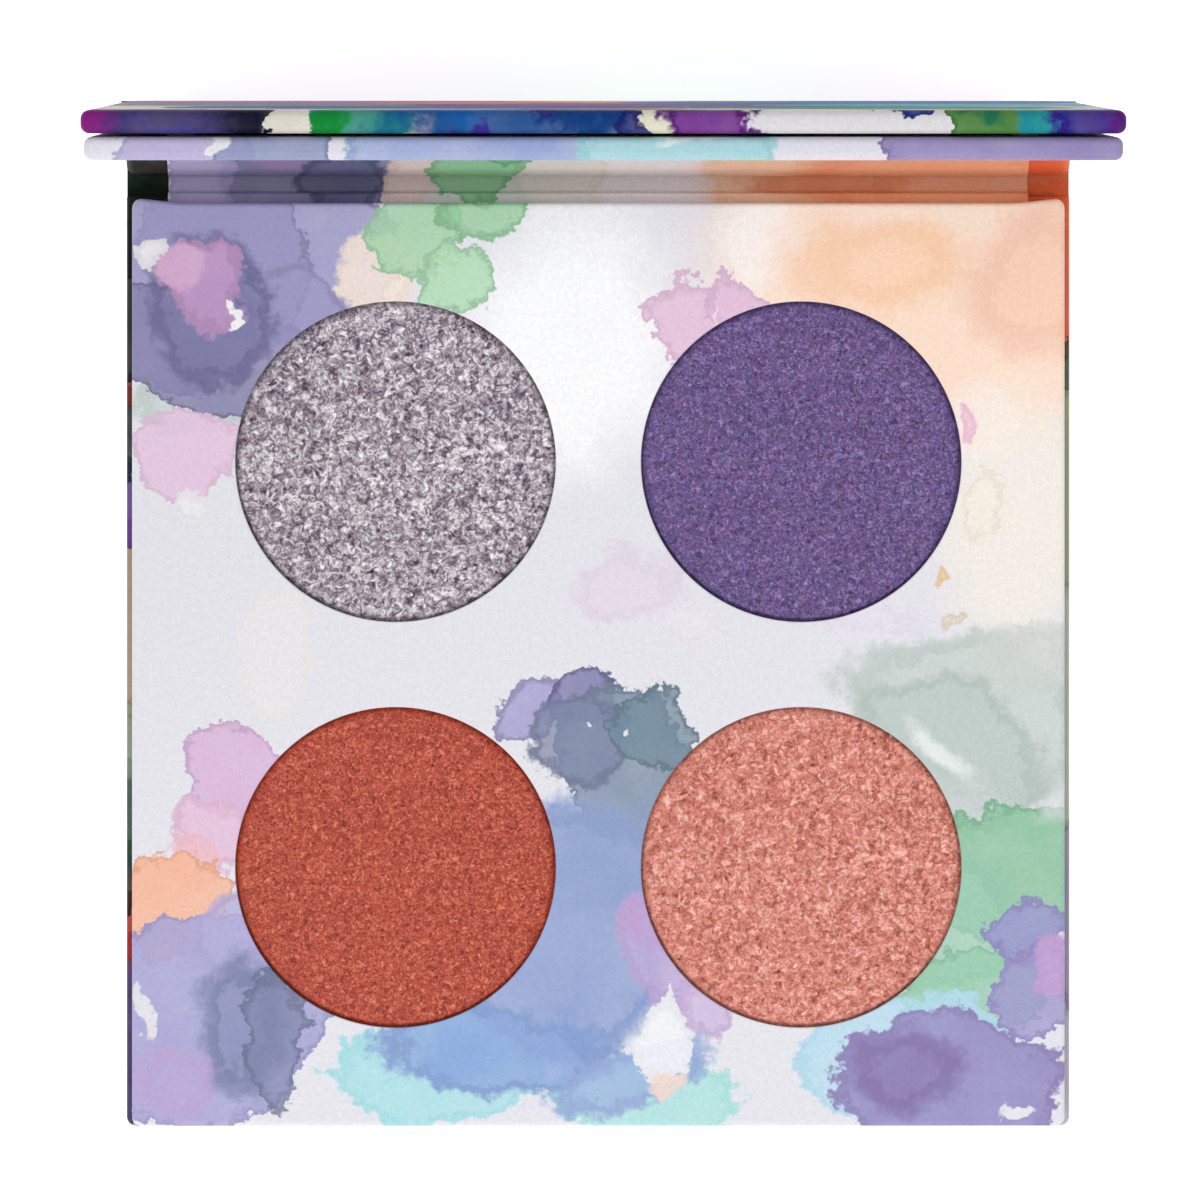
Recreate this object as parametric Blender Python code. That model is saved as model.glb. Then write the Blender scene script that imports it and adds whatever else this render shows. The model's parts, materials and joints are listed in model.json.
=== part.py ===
"""A book-style eyeshadow palette in wrapped greyboard, standing open.

A tray holds four round powder pans. Behind it a narrow spine board leans up from the table, and from
the spine's far edge the lid stands upright. The spine and the lid each turn on a paper crease.

The three cover boards are drawn laid flat, side by side on the table: +Y runs from the tray to the
lid, and +Z is up. The spine and the lid are then turned about their creases by their parent empties.
"""

import math

import bmesh
import bpy
from mathutils import Vector

MM = 0.001

# Cover boards: one outer printed sheet round three greyboards
COVER_WIDTH = 100.0 * MM
COVER_DEPTH = 99.0 * MM
COVER_THICK = 2.5 * MM
COVER_CORNER = 1.0 * MM
SPINE_LENGTH = 12.4 * MM
GROOVE = 3.7 * MM
SPINE_EDGE_GAP = 0.4 * MM
TURN_IN = 12.0 * MM
SPINE_TURN_IN = 5.0 * MM

# Sheets
PAPER = 0.2 * MM
GLUE = 0.05 * MM

# Tray
TRAY_WIDTH = 98.4 * MM
TRAY_DEPTH = 97.4 * MM
TRAY_HEIGHT = 5.7 * MM
TRAY_REAR_MARGIN = 1.3 * MM
TRAY_CORNER = 1.0 * MM
FLOOR_THICK = 1.0 * MM
TOP_THICK = 0.8 * MM

# Pans and powders
PAN_SPACING = 42.8 * MM
WINDOW_RADIUS = 16.9 * MM
WINDOW_BOARD_RADIUS = 17.15 * MM
PAN_RADIUS = 18.25 * MM
PAN_WALL = 0.3 * MM
PAN_HEIGHT = 3.2 * MM
PAN_POCKET_RADIUS = 18.6 * MM
PAN_GLUE_RADIUS = 10.0 * MM
PAN_GLUE_THICK = 0.25 * MM
POWDER_EDGE_DROP = 0.25 * MM
POWDER_RIM_GAP = 0.2 * MM
POWDER_RIM_RISE = 0.1 * MM
POWDER_SHOULDER = 1.2 * MM
POWDER_SHOULDER_DROP = 0.05 * MM
POWDER_CROWN = 0.45 * MM

# Magnets
MAGNET_RADIUS = 2.5 * MM
MAGNET_HOLE_RADIUS = 2.7 * MM
MAGNET_THICK = 1.5 * MM
MAGNET_X = 38.0 * MM
MAGNET_FROM_FRONT = 4.6 * MM

# Lid inner frame and mirror
LID_FRAME_WIDTH = 99.4 * MM
LID_FRAME_DEPTH = 97.6 * MM
LID_FRAME_THICK = 2.3 * MM
LID_FRAME_INSET = 0.2 * MM
MIRROR_WIDTH = 83.6 * MM
MIRROR_DEPTH = 81.6 * MM
MIRROR_THICK = 1.7 * MM
MIRROR_GAP = 0.3 * MM
MIRROR_CORNER = 1.0 * MM
MIRROR_PAD_INSET = 2.0 * MM

# Hinge liner, the pale strip inside the spine
LINER_WIDTH = 91.2 * MM
LINER_UNDER_TRAY = 10.0 * MM
LINER_UNDER_FRAME = 10.0 * MM
# Where the liner folds over a board's end, the board and its outer sheet stop this much short of it
EDGE_ROOM = 0.45 * MM

# How far each leaf is turned up from lying flat on the table
SPINE_ANGLE = math.radians(65.0)
LID_ANGLE = math.radians(93.18)

# The liner turns up this far before the lower crease
CREASE_LEAD = 1.0 * MM

# Steps round a full circle and round a corner, and the sharpest edge that is shaded smooth
ROUND_STEPS = 48
CORNER_STEPS = 4
SMOOTH_ANGLE = math.radians(35.0)
# A strip's mitre is at most 1 over this many times its half thickness
MITRE_LIMIT = 0.5

# How far a cutter reaches past what it cuts, and the same where another board is near
CUT_PAST = 1.0 * MM
CUT_NEAR = 0.25 * MM

# Heights inside the stacks
COVER_CORE_BOTTOM = PAPER + GLUE
TURN_IN_TOP = COVER_THICK - PAPER - GLUE
TURN_IN_BOTTOM = TURN_IN_TOP - PAPER
COVER_CORE_TOP = TURN_IN_BOTTOM - GLUE
LINER_MIDDLE = COVER_THICK - PAPER / 2

TRAY_TOP = COVER_THICK + TRAY_HEIGHT
TRAY_BOTTOM = COVER_THICK + GLUE
FLOOR_TOP = TRAY_BOTTOM + FLOOR_THICK
TOP_BOARD_TOP = TRAY_TOP - PAPER - GLUE
TOP_BOARD_BOTTOM = TOP_BOARD_TOP - TOP_THICK
PAN_FRAME_BOTTOM = FLOOR_TOP + GLUE
PAN_FRAME_TOP = TOP_BOARD_BOTTOM - GLUE
PAN_FRAME_SPLIT = (PAN_FRAME_BOTTOM + PAN_FRAME_TOP) / 2
PAN_TOP = PAN_FRAME_TOP
PAN_BOTTOM = PAN_TOP - PAN_HEIGHT

# Places along the table
COVER_FRONT = -COVER_DEPTH / 2
COVER_REAR = COVER_DEPTH / 2
TRAY_REAR = COVER_REAR - TRAY_REAR_MARGIN
TRAY_FRONT = TRAY_REAR - TRAY_DEPTH
TRAY_MIDDLE = (TRAY_FRONT + TRAY_REAR) / 2
LOWER_CREASE_Y = COVER_REAR + GROOVE
CREASE_TO_CREASE = SPINE_LENGTH + 2 * SPINE_EDGE_GAP

# Places along the lid, from the upper crease
LID_START = GROOVE
LID_END = LID_START + COVER_DEPTH
FRAME_END = LID_END - LID_FRAME_INSET
FRAME_START = FRAME_END - LID_FRAME_DEPTH
FRAME_MIDDLE = (FRAME_START + FRAME_END) / 2
FRAME_BOTTOM = COVER_THICK + GLUE
LID_THICK = COVER_THICK + LID_FRAME_THICK
FRAME_BOARD_TOP = LID_THICK - PAPER - GLUE

PANS = {
    "silver": (-1, 1),
    "violet": (1, 1),
    "copper": (-1, -1),
    "rose": (1, -1),
}

COLOURS = {
    "greyboard": ((0.42, 0.38, 0.33), 0.9, 0.0),
    "dark_print": ((0.055, 0.045, 0.16), 0.45, 0.0),
    "pale_print": ((0.74, 0.70, 0.80), 0.55, 0.0),
    "tinplate": ((0.62, 0.62, 0.63), 0.35, 0.9),
    "adhesive": ((0.83, 0.80, 0.70), 0.6, 0.0),
    "magnet": ((0.55, 0.55, 0.57), 0.25, 1.0),
    "mirror": ((0.90, 0.92, 0.93), 0.03, 1.0),
    "silver": ((0.56, 0.50, 0.56), 0.35, 0.6),
    "violet": ((0.15, 0.09, 0.30), 0.45, 0.3),
    "copper": ((0.46, 0.12, 0.05), 0.4, 0.5),
    "rose": ((0.66, 0.31, 0.22), 0.35, 0.5),
}


# ---------------------------------------------------------------- scene and materials


def clear_scene():
    for obj in list(bpy.data.objects):
        bpy.data.objects.remove(obj, do_unlink=True)


def material(name, finish):
    colour, roughness, metallic = COLOURS[finish]
    made = bpy.data.materials.new(name)
    made.use_nodes = True
    shader = made.node_tree.nodes["Principled BSDF"]
    shader.inputs["Base Color"].default_value = (*colour, 1.0)
    shader.inputs["Roughness"].default_value = roughness
    shader.inputs["Metallic"].default_value = metallic
    return made


def crease_empty(name, parent, y, angle):
    """An empty on a crease. What is parented to it is drawn laid flat, from the crease on."""
    empty = bpy.data.objects.new(name, None)
    empty.location = (0.0, y, 0.0)
    empty.rotation_euler = (angle, 0.0, 0.0)
    empty.parent = parent
    bpy.context.collection.objects.link(empty)
    return empty


def add_object(name, bm, parent, finish, smooth=False):
    bmesh.ops.recalc_face_normals(bm, faces=bm.faces)
    mesh = bpy.data.meshes.new(name)
    bm.to_mesh(mesh)
    bm.free()
    if smooth:
        mesh.shade_smooth()
        mesh.set_sharp_from_angle(angle=SMOOTH_ANGLE)
    obj = bpy.data.objects.new(name, mesh)
    obj.parent = parent
    if finish:
        mesh.materials.append(material(name, finish))
    bpy.context.collection.objects.link(obj)
    return obj


def cut(obj, cutter):
    """Takes the cutter's shape out of obj. The cutter stays in the scene as a wire guide."""
    cutter.hide_render = True
    cutter.display_type = "WIRE"
    modifier = obj.modifiers.new("cut_" + cutter.name, "BOOLEAN")
    modifier.operation = "DIFFERENCE"
    modifier.solver = "EXACT"
    modifier.object = cutter


# ---------------------------------------------------------------- shapes


def rounded_rectangle(x_low, x_high, y_low, y_high, radius):
    """Points anticlockwise round a rectangle. Each corner is a quarter circle of this radius."""
    if radius <= 0:
        return [(x_low, y_low), (x_high, y_low), (x_high, y_high), (x_low, y_high)]
    centres = [
        (x_high - radius, y_low + radius, -90.0),
        (x_high - radius, y_high - radius, 0.0),
        (x_low + radius, y_high - radius, 90.0),
        (x_low + radius, y_low + radius, 180.0),
    ]
    points = []
    for x, y, start in centres:
        for step in range(CORNER_STEPS + 1):
            angle = math.radians(start + 90.0 * step / CORNER_STEPS)
            points.append((x + radius * math.cos(angle), y + radius * math.sin(angle)))
    return points


def add_prism(bm, outline, z_low, z_high):
    bottom = [bm.verts.new((x, y, z_low)) for x, y in outline]
    top = [bm.verts.new((x, y, z_high)) for x, y in outline]
    bm.faces.new(bottom[::-1])
    bm.faces.new(top)
    count = len(outline)
    for i in range(count):
        j = (i + 1) % count
        bm.faces.new((bottom[i], bottom[j], top[j], top[i]))


def slab(name, parent, finish, box, z_low, z_high, radius=0.0):
    """A board: a rectangle (x_low, x_high, y_low, y_high) with round corners, between two heights."""
    bm = bmesh.new()
    add_prism(bm, rounded_rectangle(*box, radius), z_low, z_high)
    return add_object(name, bm, parent, finish)


def round_cutter(name, parent, centres, radius, z_low, z_high):
    """A cutter made of upright cylinders, one at each centre."""
    bm = bmesh.new()
    for x, y in centres:
        outline = []
        for step in range(ROUND_STEPS):
            angle = math.tau * step / ROUND_STEPS
            outline.append((x + radius * math.cos(angle), y + radius * math.sin(angle)))
        add_prism(bm, outline, z_low, z_high)
    return add_object(name, bm, parent, None)


def turned(name, parent, finish, profile, centre):
    """A solid turned about an upright axis. The profile's first and last points are on the axis."""
    bm = bmesh.new()
    first = bm.verts.new((0.0, 0.0, profile[0][1]))
    last = bm.verts.new((0.0, 0.0, profile[-1][1]))
    rings = []
    for radius, z in profile[1:-1]:
        ring = []
        for step in range(ROUND_STEPS):
            angle = math.tau * step / ROUND_STEPS
            ring.append(bm.verts.new((radius * math.cos(angle), radius * math.sin(angle), z)))
        rings.append(ring)
    for i in range(ROUND_STEPS):
        j = (i + 1) % ROUND_STEPS
        bm.faces.new((first, rings[0][j], rings[0][i]))
        for low, high in zip(rings, rings[1:]):
            bm.faces.new((low[i], low[j], high[j], high[i]))
        bm.faces.new((last, rings[-1][i], rings[-1][j]))
    obj = add_object(name, bm, parent, finish, smooth=True)
    obj.location = (*centre, 0.0)
    return obj


def strip(name, parent, finish, path, width):
    """A sheet of paper that runs along a path of (y, z) points, PAPER thick and centred on it."""
    points = [Vector(point) for point in path]
    sides = {1: [], -1: []}
    for i, point in enumerate(points):
        before = (point - points[i - 1]).normalized() if i else None
        after = (points[i + 1] - point).normalized() if i + 1 < len(points) else None
        along = ((before or after) + (after or before)).normalized()
        normal = Vector((-along.y, along.x))
        straight = before or after
        reach = PAPER / 2 / max(MITRE_LIMIT, along.dot(straight))
        for side, line in sides.items():
            line.append(point + normal * side * reach)
    outline = sides[-1] + sides[1][::-1]
    bm = bmesh.new()
    left = [bm.verts.new((-width / 2, y, z)) for y, z in outline]
    right = [bm.verts.new((width / 2, y, z)) for y, z in outline]
    count = len(path)
    last = 2 * count - 1
    for i in range(count - 1):
        j, k, m = i + 1, last - i - 1, last - i
        bm.faces.new((left[i], left[j], left[k], left[m]))
        bm.faces.new((right[m], right[k], right[j], right[i]))
    for i in range(2 * count):
        j = (i + 1) % (2 * count)
        bm.faces.new((left[j], left[i], right[i], right[j]))
    return add_object(name, bm, parent, finish)


def wrap_sheet(name, parent, box, turn_in, folds):
    """The outer sheet glued under a cover board, folded up its edges and turned in over its top.

    The sheet folds at both ends of the board's width, at the low Y edge if folds[0] is True, and at
    the high Y edge if folds[1] is True. Elsewhere it runs on into the crease.
    """
    x_low, x_high, y_low, y_high = box
    radius = COVER_CORNER if any(folds) else 0.0
    sheet = slab(name, parent, "dark_print", box, 0.0, TURN_IN_TOP, radius)

    def inside(name_end, inset, z_low, z_high):
        room = (
            x_low + inset,
            x_high - inset,
            y_low + inset if folds[0] else y_low - CUT_PAST,
            y_high - inset if folds[1] else y_high + CUT_PAST,
        )
        cutter = slab(name + name_end, parent, None, room, z_low, z_high, max(0.0, radius - inset))
        cut(sheet, cutter)

    inside("_core_cutter", PAPER, PAPER, TURN_IN_BOTTOM)
    inside("_opening_cutter", turn_in, TURN_IN_BOTTOM - CUT_NEAR, TURN_IN_TOP + CUT_PAST)
    return sheet


def core_box(box, folds):
    """The greyboard inside a wrap sheet."""
    x_low, x_high, y_low, y_high = box
    inset = PAPER + GLUE
    return (
        x_low + inset,
        x_high - inset,
        y_low + (inset if folds[0] else 0.0),
        y_high - (inset if folds[1] else 0.0),
    )


# ---------------------------------------------------------------- the base


def make_back_cover():
    box = (-COVER_WIDTH / 2, COVER_WIDTH / 2, COVER_FRONT, COVER_REAR - EDGE_ROOM)
    folds = (True, False)
    wrap_sheet("back_board_wrap", None, box, TURN_IN, folds)
    core = core_box(box, folds)
    slab("back_board", None, "greyboard", core, COVER_CORE_BOTTOM, COVER_CORE_TOP, COVER_CORNER - PAPER)


def pan_centres():
    return {
        shade: (column * PAN_SPACING / 2, TRAY_MIDDLE + row * PAN_SPACING / 2)
        for shade, (column, row) in PANS.items()
    }


def magnet_centres():
    y = TRAY_FRONT + MAGNET_FROM_FRONT
    return {"left": (-MAGNET_X, y), "right": (MAGNET_X, y)}


def make_tray():
    centres = list(pan_centres().values())
    outer = (-TRAY_WIDTH / 2, TRAY_WIDTH / 2, TRAY_FRONT, TRAY_REAR)
    sheet = slab("tray_wrap", None, "pale_print", outer, TRAY_BOTTOM, TRAY_TOP, TRAY_CORNER)
    room = (outer[0] + PAPER, outer[1] - PAPER, outer[2] + PAPER, outer[3] - PAPER)
    inner_radius = TRAY_CORNER - PAPER
    below = TRAY_BOTTOM - CUT_PAST
    cut(sheet, slab("tray_wrap_cutter", None, None, room, below, TRAY_TOP - PAPER, inner_radius))
    above = TRAY_TOP + CUT_PAST
    windows = round_cutter("tray_wrap_windows", None, centres, WINDOW_RADIUS, TOP_BOARD_TOP, above)
    cut(sheet, windows)

    board = tuple(side + GLUE * (1 if i % 2 == 0 else -1) for i, side in enumerate(room))
    radius = inner_radius - GLUE
    slab("tray_floor_board", None, "greyboard", board, TRAY_BOTTOM, FLOOR_TOP, radius)

    layers = {
        "pan_frame_lower_board": (PAN_FRAME_BOTTOM, PAN_FRAME_SPLIT - GLUE / 2),
        "pan_frame_upper_board": (PAN_FRAME_SPLIT + GLUE / 2, PAN_FRAME_TOP),
    }
    made = {}
    for name, (low, high) in layers.items():
        made[name] = slab(name, None, "greyboard", board, low, high, radius)
        reach = (low - CUT_PAST, high + CUT_PAST)
        cut(made[name], round_cutter(name + "_pockets", None, centres, PAN_POCKET_RADIUS, *reach))
    magnets = list(magnet_centres().values())
    low, high = layers["pan_frame_upper_board"]
    reach = (low - CUT_NEAR, high + CUT_NEAR)
    holes = round_cutter("tray_magnet_holes", None, magnets, MAGNET_HOLE_RADIUS, *reach)
    cut(made["pan_frame_upper_board"], holes)

    top = slab("tray_top_board", None, "greyboard", board, TOP_BOARD_BOTTOM, TOP_BOARD_TOP, radius)
    reach = (TOP_BOARD_BOTTOM - CUT_NEAR, TOP_BOARD_TOP + CUT_NEAR)
    cut(top, round_cutter("tray_top_windows", None, centres, WINDOW_BOARD_RADIUS, *reach))


def make_pans():
    glue_top = PAN_BOTTOM - GLUE
    glue_profile = [
        (0.0, glue_top - PAN_GLUE_THICK),
        (PAN_GLUE_RADIUS, glue_top - PAN_GLUE_THICK),
        (PAN_GLUE_RADIUS, glue_top),
        (0.0, glue_top),
    ]
    inside = PAN_RADIUS - PAN_WALL
    floor = PAN_BOTTOM + PAN_WALL
    pan_profile = [
        (0.0, PAN_BOTTOM),
        (inside, PAN_BOTTOM),
        (PAN_RADIUS, PAN_BOTTOM + PAN_WALL),
        (PAN_RADIUS, PAN_TOP),
        (inside, PAN_TOP),
        (inside, floor),
        (0.0, floor),
    ]
    cake = inside - GLUE
    edge = PAN_TOP - POWDER_EDGE_DROP
    rim = WINDOW_RADIUS - POWDER_RIM_GAP
    crown = PAN_TOP + POWDER_CROWN
    powder_profile = [
        (0.0, floor + GLUE),
        (cake, floor + GLUE),
        (cake, edge),
        (rim, PAN_TOP + POWDER_RIM_RISE),
        (rim - POWDER_SHOULDER, crown - POWDER_SHOULDER_DROP),
        (0.0, crown),
    ]
    for shade, centre in pan_centres().items():
        turned("pan_glue_" + shade, None, "adhesive", glue_profile, centre)
        turned("pan_" + shade, None, "tinplate", pan_profile, centre)
        turned("powder_" + shade, None, shade, powder_profile, centre)


def disc_profile(z_low, thickness, radius):
    return [(0.0, z_low), (radius, z_low), (radius, z_low + thickness), (0.0, z_low + thickness)]


def make_tray_magnets():
    profile = disc_profile(PAN_FRAME_SPLIT + GLUE, MAGNET_THICK, MAGNET_RADIUS)
    for side, centre in magnet_centres().items():
        turned("tray_magnet_" + side, None, "magnet", profile, centre)


# ---------------------------------------------------------------- the spine


def make_spine(crease):
    start = SPINE_EDGE_GAP + EDGE_ROOM
    end = SPINE_EDGE_GAP + SPINE_LENGTH - EDGE_ROOM
    box = (-COVER_WIDTH / 2, COVER_WIDTH / 2, start, end)
    folds = (False, False)
    wrap_sheet("spine_wrap", crease, box, SPINE_TURN_IN, folds)
    slab("spine_board", crease, "greyboard", core_box(box, folds), COVER_CORE_BOTTOM, COVER_CORE_TOP)


# ---------------------------------------------------------------- the lid


def make_front_cover(crease):
    box = (-COVER_WIDTH / 2, COVER_WIDTH / 2, LID_START + EDGE_ROOM, LID_END)
    folds = (False, True)
    wrap_sheet("front_board_wrap", crease, box, TURN_IN, folds)
    core = core_box(box, folds)
    slab("front_board", crease, "greyboard", core, COVER_CORE_BOTTOM, COVER_CORE_TOP, COVER_CORNER - PAPER)


def make_lid_frame(crease):
    half = LID_FRAME_WIDTH / 2
    outer = (-half, half, FRAME_START, FRAME_END)
    sheet = slab("lid_frame_wrap", crease, "pale_print", outer, FRAME_BOTTOM, LID_THICK, COVER_CORNER)
    room = (-half + PAPER, half - PAPER, FRAME_START + PAPER, FRAME_END - PAPER)
    radius = COVER_CORNER - PAPER
    below = FRAME_BOTTOM - CUT_PAST
    cut(sheet, slab("lid_frame_wrap_cutter", crease, None, room, below, LID_THICK - PAPER, radius))

    box = tuple(side + GLUE * (1 if i % 2 == 0 else -1) for i, side in enumerate(room))
    heights = (FRAME_BOTTOM, FRAME_BOARD_TOP)
    board = slab("lid_frame_board", crease, "greyboard", box, *heights, radius - GLUE)

    def window(name, gap, z_low):
        x, y = MIRROR_WIDTH / 2 + gap, MIRROR_DEPTH / 2 + gap
        opening = (-x, x, FRAME_MIDDLE - y, FRAME_MIDDLE + y)
        return slab(name, crease, None, opening, z_low, LID_THICK + CUT_PAST, MIRROR_CORNER + gap)

    cut(sheet, window("lid_frame_wrap_window", MIRROR_GAP, LID_THICK - CUT_PAST))
    cut(board, window("lid_frame_board_window", MIRROR_GAP + GLUE, below))

    # Laid on the tray, a point this far from the upper crease meets the tray's magnet.
    magnet_y = LOWER_CREASE_Y - (TRAY_FRONT + MAGNET_FROM_FRONT)
    centres = [(-MAGNET_X, magnet_y), (MAGNET_X, magnet_y)]
    reach = (FRAME_BOTTOM - CUT_NEAR, LID_THICK)
    cut(board, round_cutter("lid_magnet_holes", crease, centres, MAGNET_HOLE_RADIUS, *reach))
    profile = disc_profile(FRAME_BOARD_TOP - GLUE - MAGNET_THICK, MAGNET_THICK, MAGNET_RADIUS)
    for side, centre in zip(("left", "right"), centres):
        turned("lid_magnet_" + side, crease, "magnet", profile, centre)


def make_mirror(crease):
    x, y = MIRROR_WIDTH / 2, MIRROR_DEPTH / 2
    glass = (-x, x, FRAME_MIDDLE - y, FRAME_MIDDLE + y)
    bottom = LID_THICK - PAPER - MIRROR_THICK
    slab("mirror", crease, "mirror", glass, bottom, bottom + MIRROR_THICK, MIRROR_CORNER)
    inset = MIRROR_PAD_INSET
    pad = (glass[0] + inset, glass[1] - inset, glass[2] + inset, glass[3] - inset)
    slab("mirror_adhesive", crease, "adhesive", pad, FRAME_BOTTOM, bottom - GLUE, MIRROR_CORNER)


# ---------------------------------------------------------------- the paper of the hinge


def turned_up(y, z, origin, angle):
    """A point of a leaf that is drawn flat, where it stands once the leaf is turned about its crease."""
    return (
        origin[0] + y * math.cos(angle) - z * math.sin(angle),
        origin[1] + y * math.sin(angle) + z * math.cos(angle),
    )


def make_crease_papers(lower, upper):
    """The outer sheet where it bends, between the stretches that are glued to the boards."""
    middle = PAPER / 2
    end = EDGE_ROOM - GLUE
    lower_path = [
        (COVER_REAR - end, middle),
        (LOWER_CREASE_Y - middle * math.tan(SPINE_ANGLE / 2), middle),
        turned_up(SPINE_EDGE_GAP + end, middle, lower, SPINE_ANGLE),
    ]
    strip("lower_crease_paper", None, "dark_print", lower_path, COVER_WIDTH)
    bend = middle * math.tan((LID_ANGLE - SPINE_ANGLE) / 2)
    upper_path = [
        turned_up(SPINE_EDGE_GAP + SPINE_LENGTH - end, middle, lower, SPINE_ANGLE),
        turned_up(CREASE_TO_CREASE - bend, middle, lower, SPINE_ANGLE),
        turned_up(LID_START + end, middle, upper, LID_ANGLE),
    ]
    strip("upper_crease_paper", None, "dark_print", upper_path, COVER_WIDTH)


def make_hinge_liner(lower, upper):
    """The inner strip. It dips into the groove on each side of the spine board."""
    top = LINER_MIDDLE
    low = PAPER * 1.5 + GLUE
    off = PAPER / 2
    fold = off + PAPER + GLUE
    drop = PAPER + GLUE
    reach = PAPER
    spine_end = SPINE_EDGE_GAP + SPINE_LENGTH
    on_base = [
        (TRAY_REAR - LINER_UNDER_TRAY, top),
        (COVER_REAR - fold, top),
        (COVER_REAR - off, top - drop),
        (COVER_REAR - off, low + drop),
        (COVER_REAR + reach, low),
        (LOWER_CREASE_Y - CREASE_LEAD, low),
    ]
    on_spine = [
        (SPINE_EDGE_GAP + off, low + drop),
        (SPINE_EDGE_GAP + off, top - drop),
        (SPINE_EDGE_GAP + fold, top),
        (spine_end - fold, top),
        (spine_end - off, top - drop),
        (spine_end - off, low),
        (CREASE_TO_CREASE - low * math.tan((LID_ANGLE - SPINE_ANGLE) / 2), low),
    ]
    on_lid = [
        (LID_START - reach, low),
        (LID_START + off, low + drop),
        (LID_START + off, top - drop),
        (LID_START + fold, top),
        (FRAME_START + LINER_UNDER_FRAME, top),
    ]
    path = list(on_base)
    path += [turned_up(y, z, lower, SPINE_ANGLE) for y, z in on_spine]
    path += [turned_up(y, z, upper, LID_ANGLE) for y, z in on_lid]
    strip("hinge_liner", None, "pale_print", path, LINER_WIDTH)


def main():
    clear_scene()
    make_back_cover()
    make_tray()
    make_pans()
    make_tray_magnets()
    lower = crease_empty("lower_crease_axis", None, LOWER_CREASE_Y, SPINE_ANGLE)
    make_spine(lower)
    upper = crease_empty("upper_crease_axis", lower, CREASE_TO_CREASE, LID_ANGLE - SPINE_ANGLE)
    make_front_cover(upper)
    make_lid_frame(upper)
    make_mirror(upper)
    lower_crease = (LOWER_CREASE_Y, 0.0)
    upper_crease = turned_up(CREASE_TO_CREASE, 0.0, lower_crease, SPINE_ANGLE)
    make_crease_papers(lower_crease, upper_crease)
    make_hinge_liner(lower_crease, upper_crease)


main()
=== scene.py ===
"""Looks for the eyeshadow palette: printed paper over board, pressed powders, pans and a mirror.

Every wrapped board gets a thin paper skin with rolled edges. A skin carries a UV map named "paper", which
holds each point's place on the unfolded sheet in millimetres, so one watercolour runs round its edges.
"""

import json
import math
from collections import namedtuple

import bmesh
import bpy
import numpy as np
from mathutils import Matrix, Vector
from mathutils.geometry import tessellate_polygon


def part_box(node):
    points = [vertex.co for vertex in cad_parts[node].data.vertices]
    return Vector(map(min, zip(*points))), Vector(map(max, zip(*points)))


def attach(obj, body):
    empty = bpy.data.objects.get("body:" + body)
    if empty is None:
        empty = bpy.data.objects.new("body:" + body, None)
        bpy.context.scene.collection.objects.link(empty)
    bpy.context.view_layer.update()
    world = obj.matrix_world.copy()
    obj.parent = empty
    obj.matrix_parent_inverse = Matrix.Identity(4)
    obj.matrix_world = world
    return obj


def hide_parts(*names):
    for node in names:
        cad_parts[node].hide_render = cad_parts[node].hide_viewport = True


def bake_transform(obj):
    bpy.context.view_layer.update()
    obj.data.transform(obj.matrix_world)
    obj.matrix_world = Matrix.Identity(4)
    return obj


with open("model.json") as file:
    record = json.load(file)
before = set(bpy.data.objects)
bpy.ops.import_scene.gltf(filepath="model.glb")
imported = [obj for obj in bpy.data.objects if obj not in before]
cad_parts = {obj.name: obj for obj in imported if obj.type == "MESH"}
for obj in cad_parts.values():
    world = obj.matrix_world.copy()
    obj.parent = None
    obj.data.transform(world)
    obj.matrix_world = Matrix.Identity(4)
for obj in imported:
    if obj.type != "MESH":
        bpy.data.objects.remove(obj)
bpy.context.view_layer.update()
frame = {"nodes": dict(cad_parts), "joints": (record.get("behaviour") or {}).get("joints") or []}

MM = 0.001
PAPER_MAP = "paper"

# How far the spine and the lid are turned up from lying flat
SPINE_ANGLE = math.radians(65.0)
LID_ANGLE = math.radians(93.18)

# Wrapped boards
PAPER = 0.2 * MM
SKIN = 0.15 * MM  # the sheet as drawn, a little thinner than the paper, so that it clears the board
PLAN_CORNER = 1.0 * MM
SHARPEST_CORNER = 0.02 * MM
TURN_IN = 11.0 * MM
NARROW_TURN_IN = 4.0 * MM
FLAT_RIM = 0.1 * MM  # a flat row inside each rounded edge, which keeps the shading of the face flat

# How far each kind of edge is rounded
COVER_EDGE = 0.85 * MM
CORE_EDGE = 0.62 * MM
TRAY_EDGE = 0.5 * MM
FRAME_EDGE = 0.8 * MM
LIP = 0.16 * MM  # the edge of a window
LIP_DEPTH = 0.45 * MM
MIRROR_BEVEL = 0.35 * MM
MIRROR_GAP = 0.3 * MM

# The tray's far side, which its thick corners push back, and the covers' unwrapped ends
FLARE = 0.45 * MM
FLARE_REACH = 6.0 * MM
OPEN_END_SLOPE = 0.02  # keeps the faces at an unwrapped end from having no area

# Paper across the creases
CREASE_BEND = 0.6 * MM  # how far each side of a crease the outer sheet bends
LINER_BEND = 0.5 * MM  # the same for the inner strip
LINER_REACH = 14.9 * MM  # how far past the upper crease it runs
CLEARANCE = 0.05 * MM
GROOVE = 3.7 * MM  # from a crease to the stiff layers beside it on a cover
SPINE_GROOVE = 0.4 * MM  # the same on the spine

# Smoothness
EDGE_STEPS = 7
CORNER_STEPS = 7
FLARE_STEPS = 10
WINDOW_STEPS = 160
BEND_STEPS = 6
BEND_SHARE = 0.45  # the most of a straight stretch that the bend at its end takes
STRIP_COLUMNS = 12
SHARP = math.radians(40)

# Pans, in millimetres
WINDOW_RADIUS = 16.9
POWDER_GRID = 224
POWDER_RADIUS = 17.9
# (distance from the pan's middle, height above the tray's top)
POWDER_PROFILE = (
    (0, -0.6), (9, -0.61), (14.5, -0.64), (16.2, -0.68), (16.6, -0.78), (16.8, -0.95), (17.2, -1.3),
    (17.9, -1.35),
)

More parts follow.
